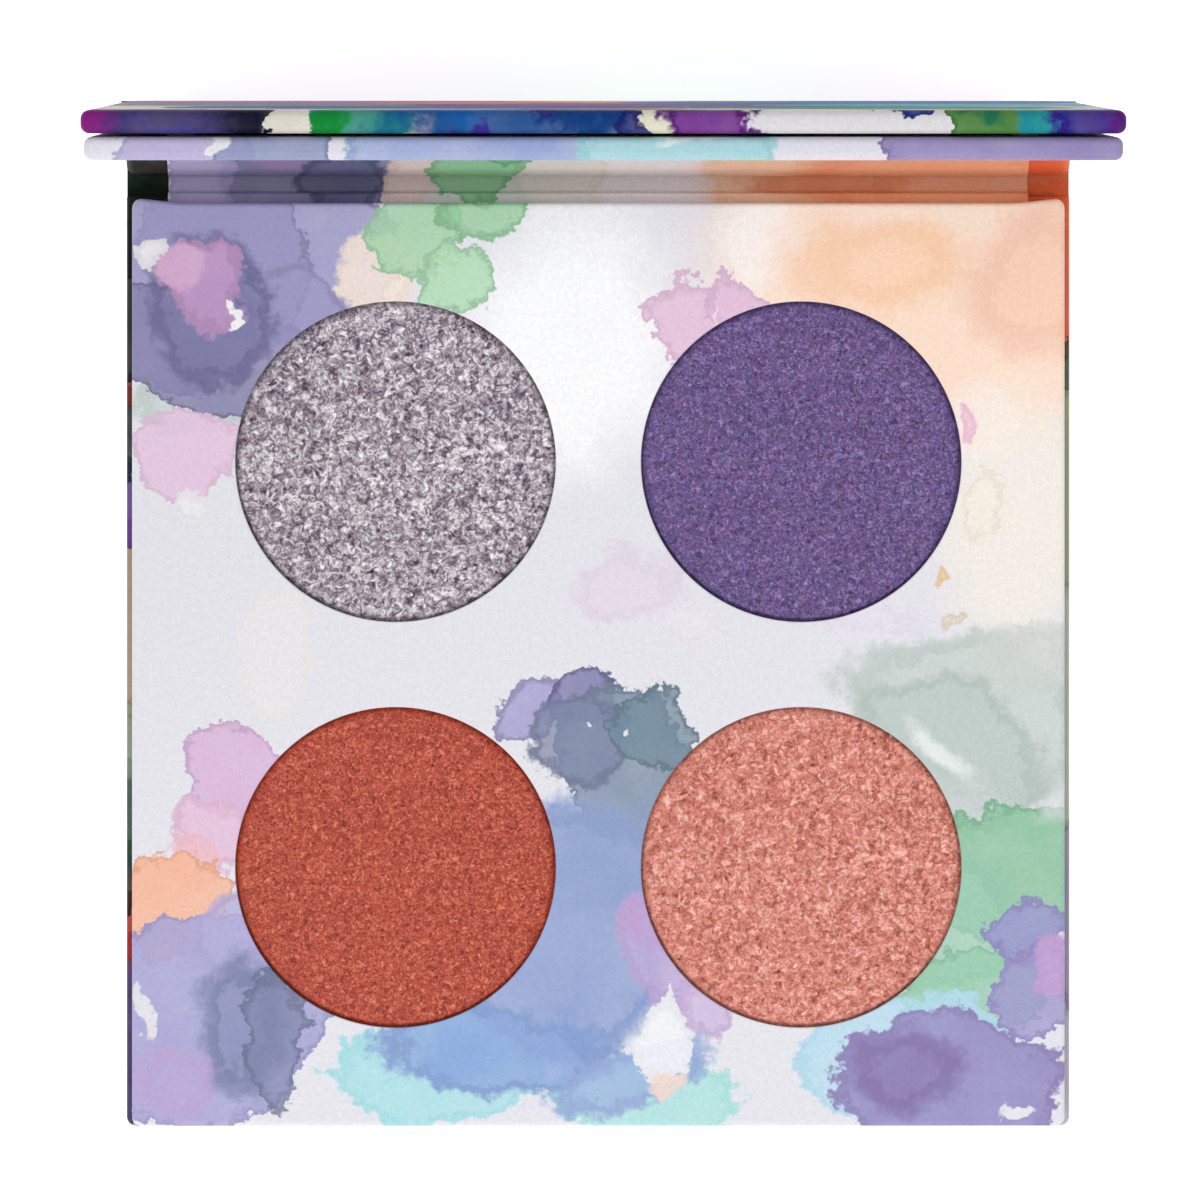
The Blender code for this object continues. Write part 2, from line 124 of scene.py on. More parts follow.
# The relief of the powder's flakes, which fades out at the pan's edge
RELIEF_RADIUS = 17.0
RELIEF_FADE = 1.2
RELIEF = 0.09  # of a flake's width
STEP_SHARE = 0.5  # how much of it is steps between flakes
LUMP_SIZE = 2.7  # flakes across a lump
LUMP_SHARE = 0.5
FLAKE_MARGIN = 6  # spare cells round the pan
FAR = 9.0  # cells, further than any flake's neighbour

# Every colour is multiplied by this, which leaves room for the studio's light
GAIN = 0.85


def lift(code):
    """A linear colour from an sRGB hex code."""
    parts = [int(code[k:k + 2], 16) / 255 for k in (0, 2, 4)]
    linear = [c / 12.92 if c <= 0.04045 else ((c + 0.055) / 1.055) ** 2.4 for c in parts]
    return [GAIN * c for c in linear] + [1.0]


# ---- leaves

CREASES = {j["name"]: Vector(j["pos_m"]) for j in frame["joints"]}


def fold(name, angle):
    return Matrix.Translation(CREASES[name]) @ Matrix.Rotation(angle, 4, "X")


BASE_LEAF = Matrix.Identity(4)
SPINE_LEAF = fold("lower_crease", SPINE_ANGLE)
LID_LEAF = fold("upper_crease", LID_ANGLE)
LOWER_CREASE = CREASES["lower_crease"].y
CREASE_TO_CREASE = (CREASES["upper_crease"] - CREASES["lower_crease"]).length
UNFOLDED_SPINE = LOWER_CREASE
UNFOLDED_LID = LOWER_CREASE + CREASE_TO_CREASE


def leaf_box(node, leaf):
    """A CAD node's lowest and highest corners along its own leaf, as if the leaf lay flat."""
    flat = leaf.inverted()
    points = np.array([flat @ v.co for v in frame["nodes"][node].data.vertices])
    return points.min(0), points.max(0)


# ---- skins

def box_outline(low, high, corner, open_near=False, open_far=False, flared_far=False):
    """A function of the inset: the points round a box with round corners, with their outward directions.

    An open end isn't wrapped, so it stays straight. flared_far puts extra points in the far side, as
    far as the flare reaches from each corner."""
    def outline(inset):
        x_low, x_high = low[0] + inset, high[0] - inset
        y_low = low[1] + inset * (OPEN_END_SLOPE if open_near else 1)
        y_high = high[1] - inset * (OPEN_END_SLOPE if open_far else 1)
        radius = max(corner - inset, SHARPEST_CORNER)
        corners = []
        for x, y, sx, sy, start, is_open in (
            (x_high, y_low, 1, -1, -90, open_near),
            (x_high, y_high, 1, 1, 0, open_far),
            (x_low, y_high, -1, 1, 90, open_far),
            (x_low, y_low, -1, -1, 180, open_near),
        ):
            if is_open:
                corners.append([(x, y, sx, 0)])
                continue
            arc = []
            for k in range(CORNER_STEPS + 1):
                a = math.radians(start + 90 * k / CORNER_STEPS)
                c, s = math.cos(a), math.sin(a)
                arc.append((x + radius * (c - sx), y + radius * (s - sy), c, s))
            corners.append(arc)
        points = []
        for k, arc in enumerate(corners):
            points += arc
            if flared_far and k == 1:
                a, b = arc[-1], corners[2][0]
                share = FLARE_REACH / (a[0] - b[0])
                near = [share * step / FLARE_STEPS for step in range(1, FLARE_STEPS)]
                for t in near + [1 - t for t in reversed(near)]:
                    points.append(tuple(a[i] + (b[i] - a[i]) * t for i in range(4)))
        return points
    return outline


def round_outline(x, y, radius):
    """The same for a circle."""
    def outline(inset):
        turns = [2 * math.pi * k / WINDOW_STEPS for k in range(WINDOW_STEPS)]
        ways = [(math.cos(a), math.sin(a)) for a in turns]
        return [(x + (radius - inset) * c, y + (radius - inset) * s, c, s) for c, s in ways]
    return outline


class Skin:
    """A sheet under construction: points in its leaf, and their places on the unfolded paper."""

    def __init__(self, shift=0.0):
        self.points, self.paper, self.faces, self.shift = [], [], [], shift

    def ring(self, outline, inset, height, flat_inset=0.0, reach=0.0):
        """Points round an outline. On the unfolded paper they lie reach outside it at flat_inset."""
        first = len(self.points)
        for (x, y, nx, ny), (fx, fy, _, _) in zip(outline(inset), outline(flat_inset)):
            self.points.append((x, y, height))
            self.paper.append(((fx + nx * reach) / MM, (fy + ny * reach + self.shift) / MM))
        return list(range(first, len(self.points)))

    def bridge(self, a, b):
        count = len(a)
        for i in range(count):
            j = (i + 1) % count
            self.faces.append((a[i], b[i], b[j], a[j]))

    def bridge_all(self, rings):
        for a, b in zip(rings, rings[1:]):
            self.bridge(a, b)

    def cap(self, outer, holes=()):
        loops = [outer, *holes]
        order = [i for loop in loops for i in loop]
        for tri in tessellate_polygon([[Vector(self.points[i]) for i in loop] for loop in loops]):
            self.faces.append(tuple(order[i] for i in tri))


def new_mesh_object(name, leaf, points, faces, paper, material):
    """A mesh with its faces turned outwards. points are in the leaf, and paper has each one's UV."""
    mesh = bpy.data.meshes.new(name)
    mesh.from_pydata([leaf @ Vector(p) for p in points], [], faces)
    shape = bmesh.new()
    shape.from_mesh(mesh)
    bmesh.ops.recalc_face_normals(shape, faces=shape.faces)
    middle = sum((v.co for v in shape.verts), Vector()) / len(shape.verts)
    outward = sum((f.calc_center_median() - middle).dot(f.normal) * f.calc_area() for f in shape.faces)
    if outward < 0:
        bmesh.ops.reverse_faces(shape, faces=shape.faces)
    shape.to_mesh(mesh)
    shape.free()
    layer = mesh.uv_layers.new(name=PAPER_MAP)
    places = np.array(paper, np.float32)
    corner_points = np.empty(len(mesh.loops), np.int32)
    mesh.loops.foreach_get("vertex_index", corner_points)
    layer.data.foreach_set("uv", places[corner_points].ravel())
    mesh.polygons.foreach_set("use_smooth", [True] * len(mesh.polygons))
    mesh.set_sharp_from_angle(angle=SHARP)
    mesh.materials.append(material)
    obj = bpy.data.objects.new(name, mesh)
    bpy.context.scene.collection.objects.link(obj)
    return obj


def quarter_turn():
    return [math.pi / 2 * k / EDGE_STEPS for k in range(EDGE_STEPS + 1)]


def rolled_edge(edge, thickness):
    """(inset, drop, reach) down a board's edge, from the flat of its face to the flat of its back."""
    rows = [(edge * (1 - math.sin(a)), edge * (1 - math.cos(a)), edge * a) for a in quarter_turn()]
    side = edge * math.pi / 2 + thickness - 2 * edge
    for a in quarter_turn():
        rows.append((edge * (1 - math.cos(a)), thickness - edge * (1 - math.sin(a)), side + edge * a))
    return rows


def window_lip():
    """The same over the edge of a window, and a little way down inside it."""
    rows = [(-LIP - FLAT_RIM, 0.0, -FLAT_RIM)]
    rows += [(-LIP * (1 - math.sin(a)), LIP * (1 - math.cos(a)), LIP * a) for a in quarter_turn()]
    return rows + [(0.0, LIP_DEPTH, LIP_DEPTH)]


def wrap(name, node, leaf, body, material, edge, face_up, shift=0.0, ends=(False, False),
         windows=(), turn_in=TURN_IN, flare=0.0):
    """A printed sheet glued over a board and turned in behind it.

    shift is where the leaf starts on the unfolded sheet. ends says which of its near and far ends are
    open. windows are outlines cut through its face."""
    low, high = leaf_box(node, leaf)
    top, sign = (high[2], -1) if face_up else (low[2], 1)
    thickness = high[2] - low[2]
    skin = Skin(shift)
    outline = box_outline(low, high, PLAN_CORNER, *ends, flared_far=flare > 0)
    rows = [(edge + FLAT_RIM, 0.0, -FLAT_RIM)] + rolled_edge(edge, thickness)
    rows.append((edge + turn_in, thickness, rows[-1][2] + turn_in))
    rings = [skin.ring(outline, inset, top + sign * drop, edge, reach) for inset, drop, reach in rows]
    skin.bridge_all(rings)
    holes = []
    for window in windows:
        lips = [skin.ring(window, inset, top + sign * drop, -LIP, -reach)
                for inset, drop, reach in window_lip()]
        skin.bridge_all(lips)
        holes.append(lips[0])
    if flare:
        skin.points = [flared(p, low, high, flare) for p in skin.points]
    skin.cap(rings[0], holes)
    obj = new_mesh_object(name, leaf, skin.points, skin.faces, skin.paper, material)
    paper = obj.modifiers.new("paper thickness", "SOLIDIFY")
    paper.thickness = SKIN
    paper.offset = -1.0
    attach(obj, body)
    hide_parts(node)


def ease(t):
    """A smooth step from 0 to 1."""
    t = min(max(t, 0.0), 1.0)
    return t * t * (3 - 2 * t)


def flared(point, low, high, amount):
    """The turned-in paper is thickest at the far corners, and pushes them back."""
    x, y, z = point
    near_corner = ease((abs(x) - high[0] + FLARE_REACH) / FLARE_REACH)
    near_edge = ease((y - high[1] + FLARE_REACH) / FLARE_REACH)
    return (x, y + amount * near_corner * near_edge, z)


def core(name, node, leaf, body, edge, ends, material, window=None):
    """A greyboard with its edges crushed round by the wrapping. A window goes right through it."""
    low, high = leaf_box(node, leaf)
    skin = Skin()
    outline = box_outline(low, high, PLAN_CORNER - PAPER, *ends)
    rings = [skin.ring(outline, inset, high[2] - drop, edge, reach)
             for inset, drop, reach in rolled_edge(edge, high[2] - low[2])]
    skin.bridge_all(rings)
    walls = []
    if window:
        walls = [skin.ring(window, 0.0, z) for z in (high[2], low[2])]
        skin.bridge_all(walls)
    skin.cap(rings[0], walls[:1])
    skin.cap(rings[-1], walls[1:])
    obj = new_mesh_object(name, leaf, skin.points, skin.faces, skin.paper, material)
    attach(obj, body)
    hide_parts(node)


# ---- folded strips

def on_leaf(leaf, y, z):
    """A point of the plane across the creases, from its place along and above a leaf."""
    p = leaf @ Vector((0, y, z))
    return (p.y, p.z)


def softened(path, radius):
    """The path with each corner replaced by a short curve."""
    path = [Vector(p) for p in path]
    out = [path[0]]
    for before, here, after in zip(path, path[1:], path[2:]):
        back, on = before - here, after - here
        cut = min(radius, back.length * BEND_SHARE, on.length * BEND_SHARE)
        start, end = here + back.normalized() * cut, here + on.normalized() * cut
        for k in range(BEND_STEPS + 1):
            t = k / BEND_STEPS
            out.append(start * (1 - t) ** 2 + here * 2 * t * (1 - t) + end * t ** 2)
    out.append(path[-1])
    return out


def strip(name, path, width, start, material):
    """A paper strip of an even thickness that follows a path in the plane across the creases.

    start is where the path starts on the unfolded sheet."""
    count = len(path)
    tangents = []
    for k in range(count):
        along = path[min(k + 1, count - 1)] - path[max(k - 1, 0)]
        tangents.append(along.normalized())
    points, paper, faces = [], [], []
    run = start
    for k, (p, t) in enumerate(zip(path, tangents)):
        if k:
            run += (p - path[k - 1]).length
        side = Vector((-t.y, t.x)) * PAPER / 2
        for q, flip in ((p - side, 1), (p + side, -1)):
            for c in range(STRIP_COLUMNS + 1):
                x = flip * width * (c / STRIP_COLUMNS - 0.5)
                points.append((x, q.x, q.y))
                paper.append((x / MM, run / MM))
    around = 2 * (STRIP_COLUMNS + 1)
    for k in range(count - 1):
        for c in range(around):
            a, b = k * around + c, k * around + (c + 1) % around
            faces.append((a, b, b + around, a + around))
    faces.append(tuple(range(around))[::-1])
    last = (count - 1) * around
    faces.append(tuple(last + c for c in range(around)))
    return new_mesh_object(name, BASE_LEAF, points, faces, paper, material)


# ---- powders

def disc_grid(count):
    """Points of the unit disc from a square grid, the grid's faces, and the points round its rim."""
    t = np.linspace(-1, 1, count)
    a, b = np.meshgrid(t, t)
    wide = np.abs(a) > np.abs(b)
    radius = np.where(wide, a, b)
    ratio = np.where(wide, b / np.where(a == 0, 1, a), a / np.where(b == 0, 1, b))
    angle = np.where(wide, math.pi / 4 * ratio, math.pi / 2 - math.pi / 4 * ratio)
    x, y = (radius * np.cos(angle)).ravel(), (radius * np.sin(angle)).ravel()
    index = np.arange(count * count).reshape(count, count)
    faces = np.stack([index[:-1, :-1], index[:-1, 1:], index[1:, 1:], index[1:, :-1]], -1).reshape(-1, 4)
    rim = np.concatenate([index[0, :-1], index[:-1, -1], index[-1, :0:-1], index[:0:-1, 0]])
    return x, y, faces, rim


def flakes(x, y, cell, seed):
    """Heights of randomly tilted flakes, each about one cell across, from -1 to 1."""
    rng = np.random.default_rng(seed)
    size = int(2 * POWDER_RADIUS / cell) + FLAKE_MARGIN
    place = rng.random((size, size, 2))
    tilt = rng.uniform(-1, 1, (size, size, 2))
    level = rng.uniform(-1, 1, (size, size))
    gx, gy = x / cell + size / 2, y / cell + size / 2
    nearest, height = np.full(x.shape, FAR), np.zeros(x.shape)
    for di in (-1, 0, 1):
        for dj in (-1, 0, 1):
            i, j = np.floor(gx).astype(int) + di, np.floor(gy).astype(int) + dj
            dx, dy = gx - i - place[i, j, 0], gy - j - place[i, j, 1]
            distance = np.hypot(dx, dy)
            closer = distance < nearest
            nearest = np.where(closer, distance, nearest)
            slope = tilt[i, j, 0] * dx + tilt[i, j, 1] * dy
            height = np.where(closer, STEP_SHARE * level[i, j] + slope, height)
    return height


def powder(shade, seed, cell, material):
    """A pan's powder, pressed to a shallow dish of flakes a cell across."""
    node = f"powder_{shade}"
    low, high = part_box(node)
    middle = (low + high) / 2 / MM
    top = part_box("tray_wrap")[1].z / MM
    x, y, faces, rim = disc_grid(POWDER_GRID)
    x, y = x * POWDER_RADIUS, y * POWDER_RADIUS
    radius = np.hypot(x, y)
    z = top + np.interp(radius, *zip(*POWDER_PROFILE))
    inside = np.clip((RELIEF_RADIUS - radius) / RELIEF_FADE, 0, 1)
    relief = flakes(x, y, cell, seed) + LUMP_SHARE * flakes(x, y, LUMP_SIZE * cell, seed + 1)
    z += inside * (RELIEF * cell) * relief
    points = np.stack([x + middle.x, y + middle.y, z], 1)
    foot = points[rim].copy()
    foot[:, 2] = low.z / MM
    start = len(points)
    count = len(rim)
    walls = [(rim[k], start + k, start + (k + 1) % count, rim[(k + 1) % count]) for k in range(count)]
    bottom = [tuple(start + k for k in reversed(range(count)))]
    every = np.concatenate([points, foot]) * MM
    paper = np.concatenate([np.stack([x, y], 1), np.stack([x[rim], y[rim]], 1)])
    all_faces = [tuple(f) for f in faces] + walls + bottom
    obj = new_mesh_object(node + "_pressed", BASE_LEAF, every.tolist(), all_faces, paper, material)
    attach(obj, "base")
    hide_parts(node)


# ---- node helpers

class Graph:
    """Short calls for building one material's node tree."""

    def __init__(self, name):
        self.material = bpy.data.materials.new(name)
        self.material.use_nodes = True
        self.tree = self.material.node_tree
        self.shader = self.tree.nodes["Principled BSDF"]

    def add(self, kind, **settings):
        node = self.tree.nodes.new("ShaderNode" + kind)
        for key, value in settings.items():
            setattr(node, key, value)
        return node

    def put(self, socket, value):
        """Links an output, or sets a plain value."""
        if isinstance(value, bpy.types.NodeSocket):
            self.tree.links.new(value, socket)
        else:
            socket.default_value = value

    def surface(self, name, value):
        self.put(self.shader.inputs[name], value)

    def vector(self, operation, *values):
        node = self.add("VectorMath", operation=operation)
        for socket, value in zip(node.inputs, values):
            self.put(socket, value)
        return node.outputs["Value" if operation in ("LENGTH", "DOT_PRODUCT") else "Vector"]

    def math(self, operation, *values):
        node = self.add("Math", operation=operation)
        for socket, value in zip(node.inputs, values):
            self.put(socket, value)
        return node.outputs[0]

    def noise(self, where, kind, unit=1.0):
        """kind is the scale, detail and roughness, and unit is what the scale is counted in, in mm."""
        scale, detail, roughness = kind
        node = self.add("TexNoise")
        self.put(node.inputs["Vector"], where)
        node.inputs["Scale"].default_value = scale / unit
        node.inputs["Detail"].default_value = detail
        node.inputs["Roughness"].default_value = roughness
        return node

    def centred(self, node):
        """A texture's colour as an offset of up to half a unit each way."""
        return self.vector("SUBTRACT", node.outputs["Color"], (0.5, 0.5, 0.5))

    def ramp(self, value, stops):
        node = self.add("ValToRGB")
        elements = node.color_ramp.elements
        while len(elements) < len(stops):
            elements.new(0.5)
        for element, (position, colour) in zip(elements, stops):
            element.position = position
            element.color = colour
        self.put(node.inputs[0], value)
        return node.outputs["Color"]

    def mix(self, factor, a, b, blend="MIX"):
        node = self.add("Mix", data_type="RGBA", blend_type=blend)
        self.put(node.inputs[0], factor)
        self.put(node.inputs[6], a)
        self.put(node.inputs[7], b)
        return node.outputs[2]

    def between(self, value, low, high, to_low=0.0, to_high=1.0, smooth=False):
        """A value mapped from one range to another, and held at its ends."""
        node = self.add("MapRange", interpolation_type="SMOOTHSTEP" if smooth else "LINEAR")
        self.put(node.inputs[0], value)
        for socket, number in zip(node.inputs[1:5], (low, high, to_low, to_high)):
            self.put(socket, number)
        return node.outputs[0]

    def bump(self, height, distance, strength=1.0):
        node = self.add("Bump")
        self.put(node.inputs["Height"], height)
        node.inputs["Distance"].default_value = distance
        node.inputs["Strength"].default_value = strength
        self.surface("Normal", node.outputs["Normal"])

    def paper_place(self):
        """Place on the unfolded sheet, in millimetres."""
        return self.add("UVMap", uv_map=PAPER_MAP).outputs["UV"]

    def solid_place(self):
        """Place in the object, in millimetres."""
        node = self.add("VectorMath", operation="SCALE")
        self.put(node.inputs[0], self.add("TexCoord").outputs["Object"])
        node.inputs["Scale"].default_value = 1 / MM
        return node.outputs["Vector"]


# Most of a noise's values lie between these, and nearly all of them between the second pair
MOST = (0.3, 0.7)
NEARLY_ALL = (0.2, 0.8)

# ---- watercolour

# One wash of paint on a sheet, in millimetres and degrees. line is how dark the dried edge is, fade how
# soft the edge is.
Wash = namedtuple("Wash", "x y across along tint opacity line fade turn", defaults=(0.9, 0.3, 0.25, 0))


def washes(*rows):
    return [Wash(*row) for row in rows]


# Noises of a printed sheet: their scale for each millimetre, detail and roughness
DRIFT = (0.075, 2.0, 0.5)
LOBES = (0.28, 3.0, 0.6)
TORN = (0.75, 4.0, 0.62)
POOLS = (0.16, 4.0, 0.6)
TOOTH = (3.4, 3.0, 0.7)
WEAVE = (1.6, 2.0, 0.5)

EDGE_LINE = 0.75  # the width of a dried edge, mm
WARP = 4.2  # how far a wash's outline wanders, mm
RAGGED = 1.5  # how far its edge is torn, mm
SMALL = 4.0  # a wash smaller than this is torn less, mm
TOOTH_SHADE = (0.28, 0.72, 0.9, 1.06)
WEAVE_SHADE = (*MOST, 0.97, 1.03)


def washed(g, colour, w, warped, torn, pooled):
    """The colour with one wash painted over it."""
    # A round gradient falls from 1 at the wash's middle to 0 at twice its reach: its edge lies at 0.5.
    node = g.add("TexGradient", gradient_type="SPHERICAL")
    g.put(node.inputs["Vector"], warped)
    node.texture_mapping.vector_type = "TEXTURE"
    node.texture_mapping.translation = (w.x, w.y, 0)
    node.texture_mapping.rotation = (0, 0, math.radians(w.turn))
    node.texture_mapping.scale = (2 * w.across, 2 * w.along, 1)
    size = min(w.across, w.along)
    distance = g.math("MULTIPLY_ADD", node.outputs["Fac"], -2 * size, size)
    distance = g.math("MULTIPLY_ADD", torn, min(1.0, size / SMALL), distance)
    cover = g.between(distance, -w.fade, 0.0, w.opacity, 0.0, smooth=True)
    cover = g.math("MULTIPLY", cover, pooled)
    tint = lift(w.tint)
    colour = g.mix(cover, colour, tint)
    if w.line:
        pool = [c * (1 - w.line) for c in tint[:3]] + [1.0]
        dried = g.between(distance, -w.fade - EDGE_LINE, -w.fade, smooth=True)
        colour = g.mix(g.math("MULTIPLY", dried, cover), colour, pool)
    return colour


def printed_paper(name, ground, washes, roughness, warp=WARP, thinnest=0.84, gloss=0.2):
    """A sheet printed with washes that bleed, pool at their edges and show the paper's tooth.

    thinnest is how much of a wash's opacity is left where its paint is thin."""
    g = Graph(name)
    place = g.paper_place()
    warped = g.vector("MULTIPLY_ADD", g.centred(g.noise(place, DRIFT)), (warp * 2, warp * 2, 0), place)
    warped = g.vector("MULTIPLY_ADD", g.centred(g.noise(place, LOBES)), (warp, warp, 0), warped)
    torn = g.math("MULTIPLY_ADD", g.noise(place, TORN).outputs["Fac"], 2 * RAGGED, -RAGGED)
    pooled = g.between(g.noise(place, POOLS).outputs["Fac"], *MOST, thinnest, 1.0)
    colour = lift(ground)
    for w in washes:
        colour = washed(g, colour, w, warped, torn, pooled)
    tooth = g.noise(place, TOOTH).outputs["Fac"]
    weave = g.noise(place, WEAVE).outputs["Fac"]
    grain = g.math("MULTIPLY", g.between(tooth, *TOOTH_SHADE), g.between(weave, *WEAVE_SHADE))
    g.surface("Base Color", g.mix(1.0, colour, grain, "MULTIPLY"))
    g.surface("Roughness", g.between(tooth, *NEARLY_ALL, roughness - 0.06, roughness + 0.08))
    g.surface("Specular IOR Level", gloss)
    g.bump(tooth, 0.03 * MM, 0.5)
    return g.material


TRAY_WASHES = washes(
    # top middle and right: painted light, white washes that make the top middle brighter than the bare
    # paper, then peach and cream
    (-3, 34, 14, 19, "FFFFFF", 0.95, 0, 8),
    (36, 42, 30, 22, "FFE4D0", 0.97, 0, 9),
    (42, 34, 19, 15, "FEE0CB", 0.85, 0, 7),
    (47, 39, 11, 10, "FBCCB5", 0.8, 0.05, 5),
    (30, 42, 11, 7, "FFD2AE", 0.75, 0.05, 4, 10),
    (44, 15, 11, 17, "F8F0E4", 0.85, 0, 6),
    (40, 24, 6, 5, "FDF0E8", 0.6, 0, 3),
    (17, 46, 5, 9, "FFFFFF", 0.6, 0, 3.5, -20),
    # top left: lavender patch with a pink flower in it
    (-42, 28, 10, 4, "C6D3CF", 0.75, 0.1, 1.4, 6),
    (-34.5, 44, 14.5, 9.5, "9D9BC8", 0.97, 0.4),
    (-45, 42, 14, 13, "9A97C4", 0.97),
    (-42, 33, 14, 6, "8884AF", 0.92, 0.4, 0.25, -10),
    (-32, 37, 5.5, 6, "9D98C4", 0.75, 0.3, 0.8),
    (-41, 37.2, 7.4, 8, "7573A2", 0.7, 0.25, 1.6, 10),
    (-41.5, 39.4, 5, 4.6, "C69DCB", 0.9, 0.25, 0.8, 30),
    (-44, 40.6, 3, 2.8, "DDB4D6", 0.75, 0.1, 1.2),
    (-46.8, 42.2, 2, 1.4, "F3F1F6", 0.95, 0.2, 0.25, 20),
    (-38.6, 36.6, 0.7, 0.7, "FFFFFF", 0.95, 0.1),
    (-43.5, 22.6, 6.8, 5, "E7C6E1", 0.95, 0.15),
    (-42, 17.4, 1.8, 2.4, "EFEDF2", 1, 0.1),
    # green leaves
    (-23.4, 41.4, 5.2, 5, "F6E6DA", 0.92, 0.08, 1.2),
    (-18.8, 45.6, 4.8, 4.6, "A6D6AC", 0.92, 0.28),
    (-14.6, 40.2, 3.6, 4.4, "B2DEB7", 0.92, 0.3, 0.25, -25),
    (-12, 47.6, 5.4, 2.4, "9AD3A1", 0.88, 0.3, 0.25, 12),
    # pink petals
    (9.4, 36, 3.9, 4.9, "E4BFDA", 0.92, 0.15, 0.25, 15),
    (15, 37.4, 4.4, 3.8, "E2BCDB", 0.92, 0.15, 0.25, -30),
    (11.9, 37, 0.3, 3.2, "FAF2F9", 0.75, 0, 0.3, -8),
    (38.3, 24, 1.2, 1.6, "F2C2DC", 0.8, 0.1, 0.5),
    # tan drips on the right
    (40.6, 16, 2.6, 4.2, "FAEFE0", 0.5, 0.22),
    (36, 9.6, 0.9, 0.8, "F3CBA0", 0.8, 0.15),
    (37.4, 5.6, 1.5, 0.8, "EFE2CE", 0.8, 0.25, 0.25, 20),
    # quiet middle
    (-33.5, 2, 4.6, 7, "F0ECE8", 0.5, 0.08),
    (2.5, 7.6, 7, 4.2, "E6DBE8", 0.9, 0.05, 1.4, 10),
    (9, 4.6, 4.5, 2.6, "EDE5EF", 0.8, 0.05, 0.8),
    (27, 5.2, 9.5, 2.6, "E9E2EE", 0.8, 0.06, 1.2),
    # grey-green field on the right
    (39, -5, 15, 9.5, "CAD4CF", 0.92, 0.1, 2.4, -6),
    (36, -9, 11, 9, "BCCAC5", 0.8, 0.12, 1.6),
    (46, 1, 8, 4.5, "D2D8D1", 0.8, 0.05, 2.5),
    (36.5, -9.4, 6.5, 2.2, "EDF1F0", 0.9, 0, 1.6, -42),
    (44.5, -21.5, 10, 8.2, "8CC4A0", 0.95, 0.25),
    (37, -27, 8, 9, "9CCDB3", 0.85, 0.1, 1.8),
    (40, -34.5, 8, 4.8, "96CCAE", 0.88, 0.2, 0.25, 10),
    (49, -14, 5, 3.2, "D5DCDA", 0.7, 0, 2),
    # slate flower in the middle
    (-7.4, -5, 4.8, 3.4, "A7A0D0", 0.95, 0.35, 0.25, 25),
    (-1, -3.4, 4.4, 3.4, "7E7AAE", 0.92, 0.45),
    (3, -11, 7.4, 8.6, "7F91A7", 0.95, 0.3, 0.25, 15),
    (-1.5, -8, 6.2, 5, "7D86A6", 0.85, 0.25, 0.8),
    (6.6, -8, 4.4, 4.4, "718B9C", 0.85, 0.35),
    (-0.6, -7, 0.45, 0.4, "F4F4F8", 0.9, 0),
    (4.2, -8.2, 0.4, 0.5, "F4F4F8", 0.9, 0),
    # periwinkle wash down the middle, with aqua fringes
    (-16.5, -43.5, 11.5, 6, "A6E0E6", 0.88, 0.05, 0.6),
    (4.5, -46, 10, 4.8, "AAE3DF", 0.88, 0.05, 0.6),
    (-4.5, -28, 14, 15.5, "8DA1D1", 0.95, 0.06, 3.2),
    (0.5, -20, 10, 9, "8FA2C8", 0.6, 0, 5),
    (-10.5, -41, 14.5, 5.4, "8DA8DB", 0.92, 0.15, 1.4, -4),
    (3, -44.5, 9.5, 3.6, "9BB0DE", 0.85, 0.1, 1.2, 20),
    (-15, -42.5, 6, 3.2, "86A6DD", 0.6, 0, 2.5),
    (7.4, -30.6, 5.8, 7.4, "BFAAD8", 0.9, 0.12, 1.2, 10),
    (6.6, -27, 3.4, 4, "C2A2D2", 0.6, 0.05, 1.5),
    (12.2, -37.5, 3.6, 4.4, "CDB5DD", 0.85, 0.12, 0.8),
    (6.4, -40.2, 2.6, 4.8, "F3F4F8", 0.97, 0.12, 0.25, -15),
    (6.8, -45, 2.2, 1.5, "F6E0D4", 0.85, 0.08, 0.8),
    # left side: mauve petal, orange spill, lavender foot
    (-38, -11, 5.4, 5.2, "DBB6DB", 0.95, 0.22),
    (-40.8, -17.5, 4.6, 4.2, "E6BEDA", 0.92, 0.12, 0.8),
    (-43.5, -20.5, 3.2, 2.6, "F2C2CC", 0.85, 0.08, 1),
    (-44.6, -25.2, 5.8, 5.6, "F7B898", 0.95, 0.22, 0.25, -10),
    (-42, -38, 13.5, 12.5, "A6A4D4", 0.96, 0.2),
    (-37.5, -27.5, 5.6, 6, "B4AEDA", 0.85, 0.1, 1.6),
    (-37, -39, 6.4, 10, "858DB6", 0.8, 0.2, 3),
    (-33.4, -41, 3.2, 7.6, "7C84A8", 0.7, 0.4),
    (-45, -45, 6, 5, "BEA6D6", 0.7, 0.05, 2.5),
    (-48, -37, 0.9, 3.4, "ECEAF0", 0.95, 0.1),
    # right foot: purple pool
    (34.5, -43, 14, 8, "B4DCEE", 0.85, 0.05, 0.6),
    (37.4, -44.8, 13.2, 7.8, "988DC2", 0.97, 0.15, 0.5),
    (32, -43.6, 7, 5.4, "8B77B0", 0.8, 0.1, 2.5),
    (45.4, -27.6, 4.8, 3.1, "9C98CE", 0.95, 0.22),
    (46.4, -34, 5, 5, "9F95CC", 0.92, 0.18),
    (48, -31.4, 2.4, 3.2, "C6A2D6", 0.8, 0.05, 1),
    (44.6, -47.4, 2.2, 0.7, "F3F2F7", 0.9, 0.1),
)
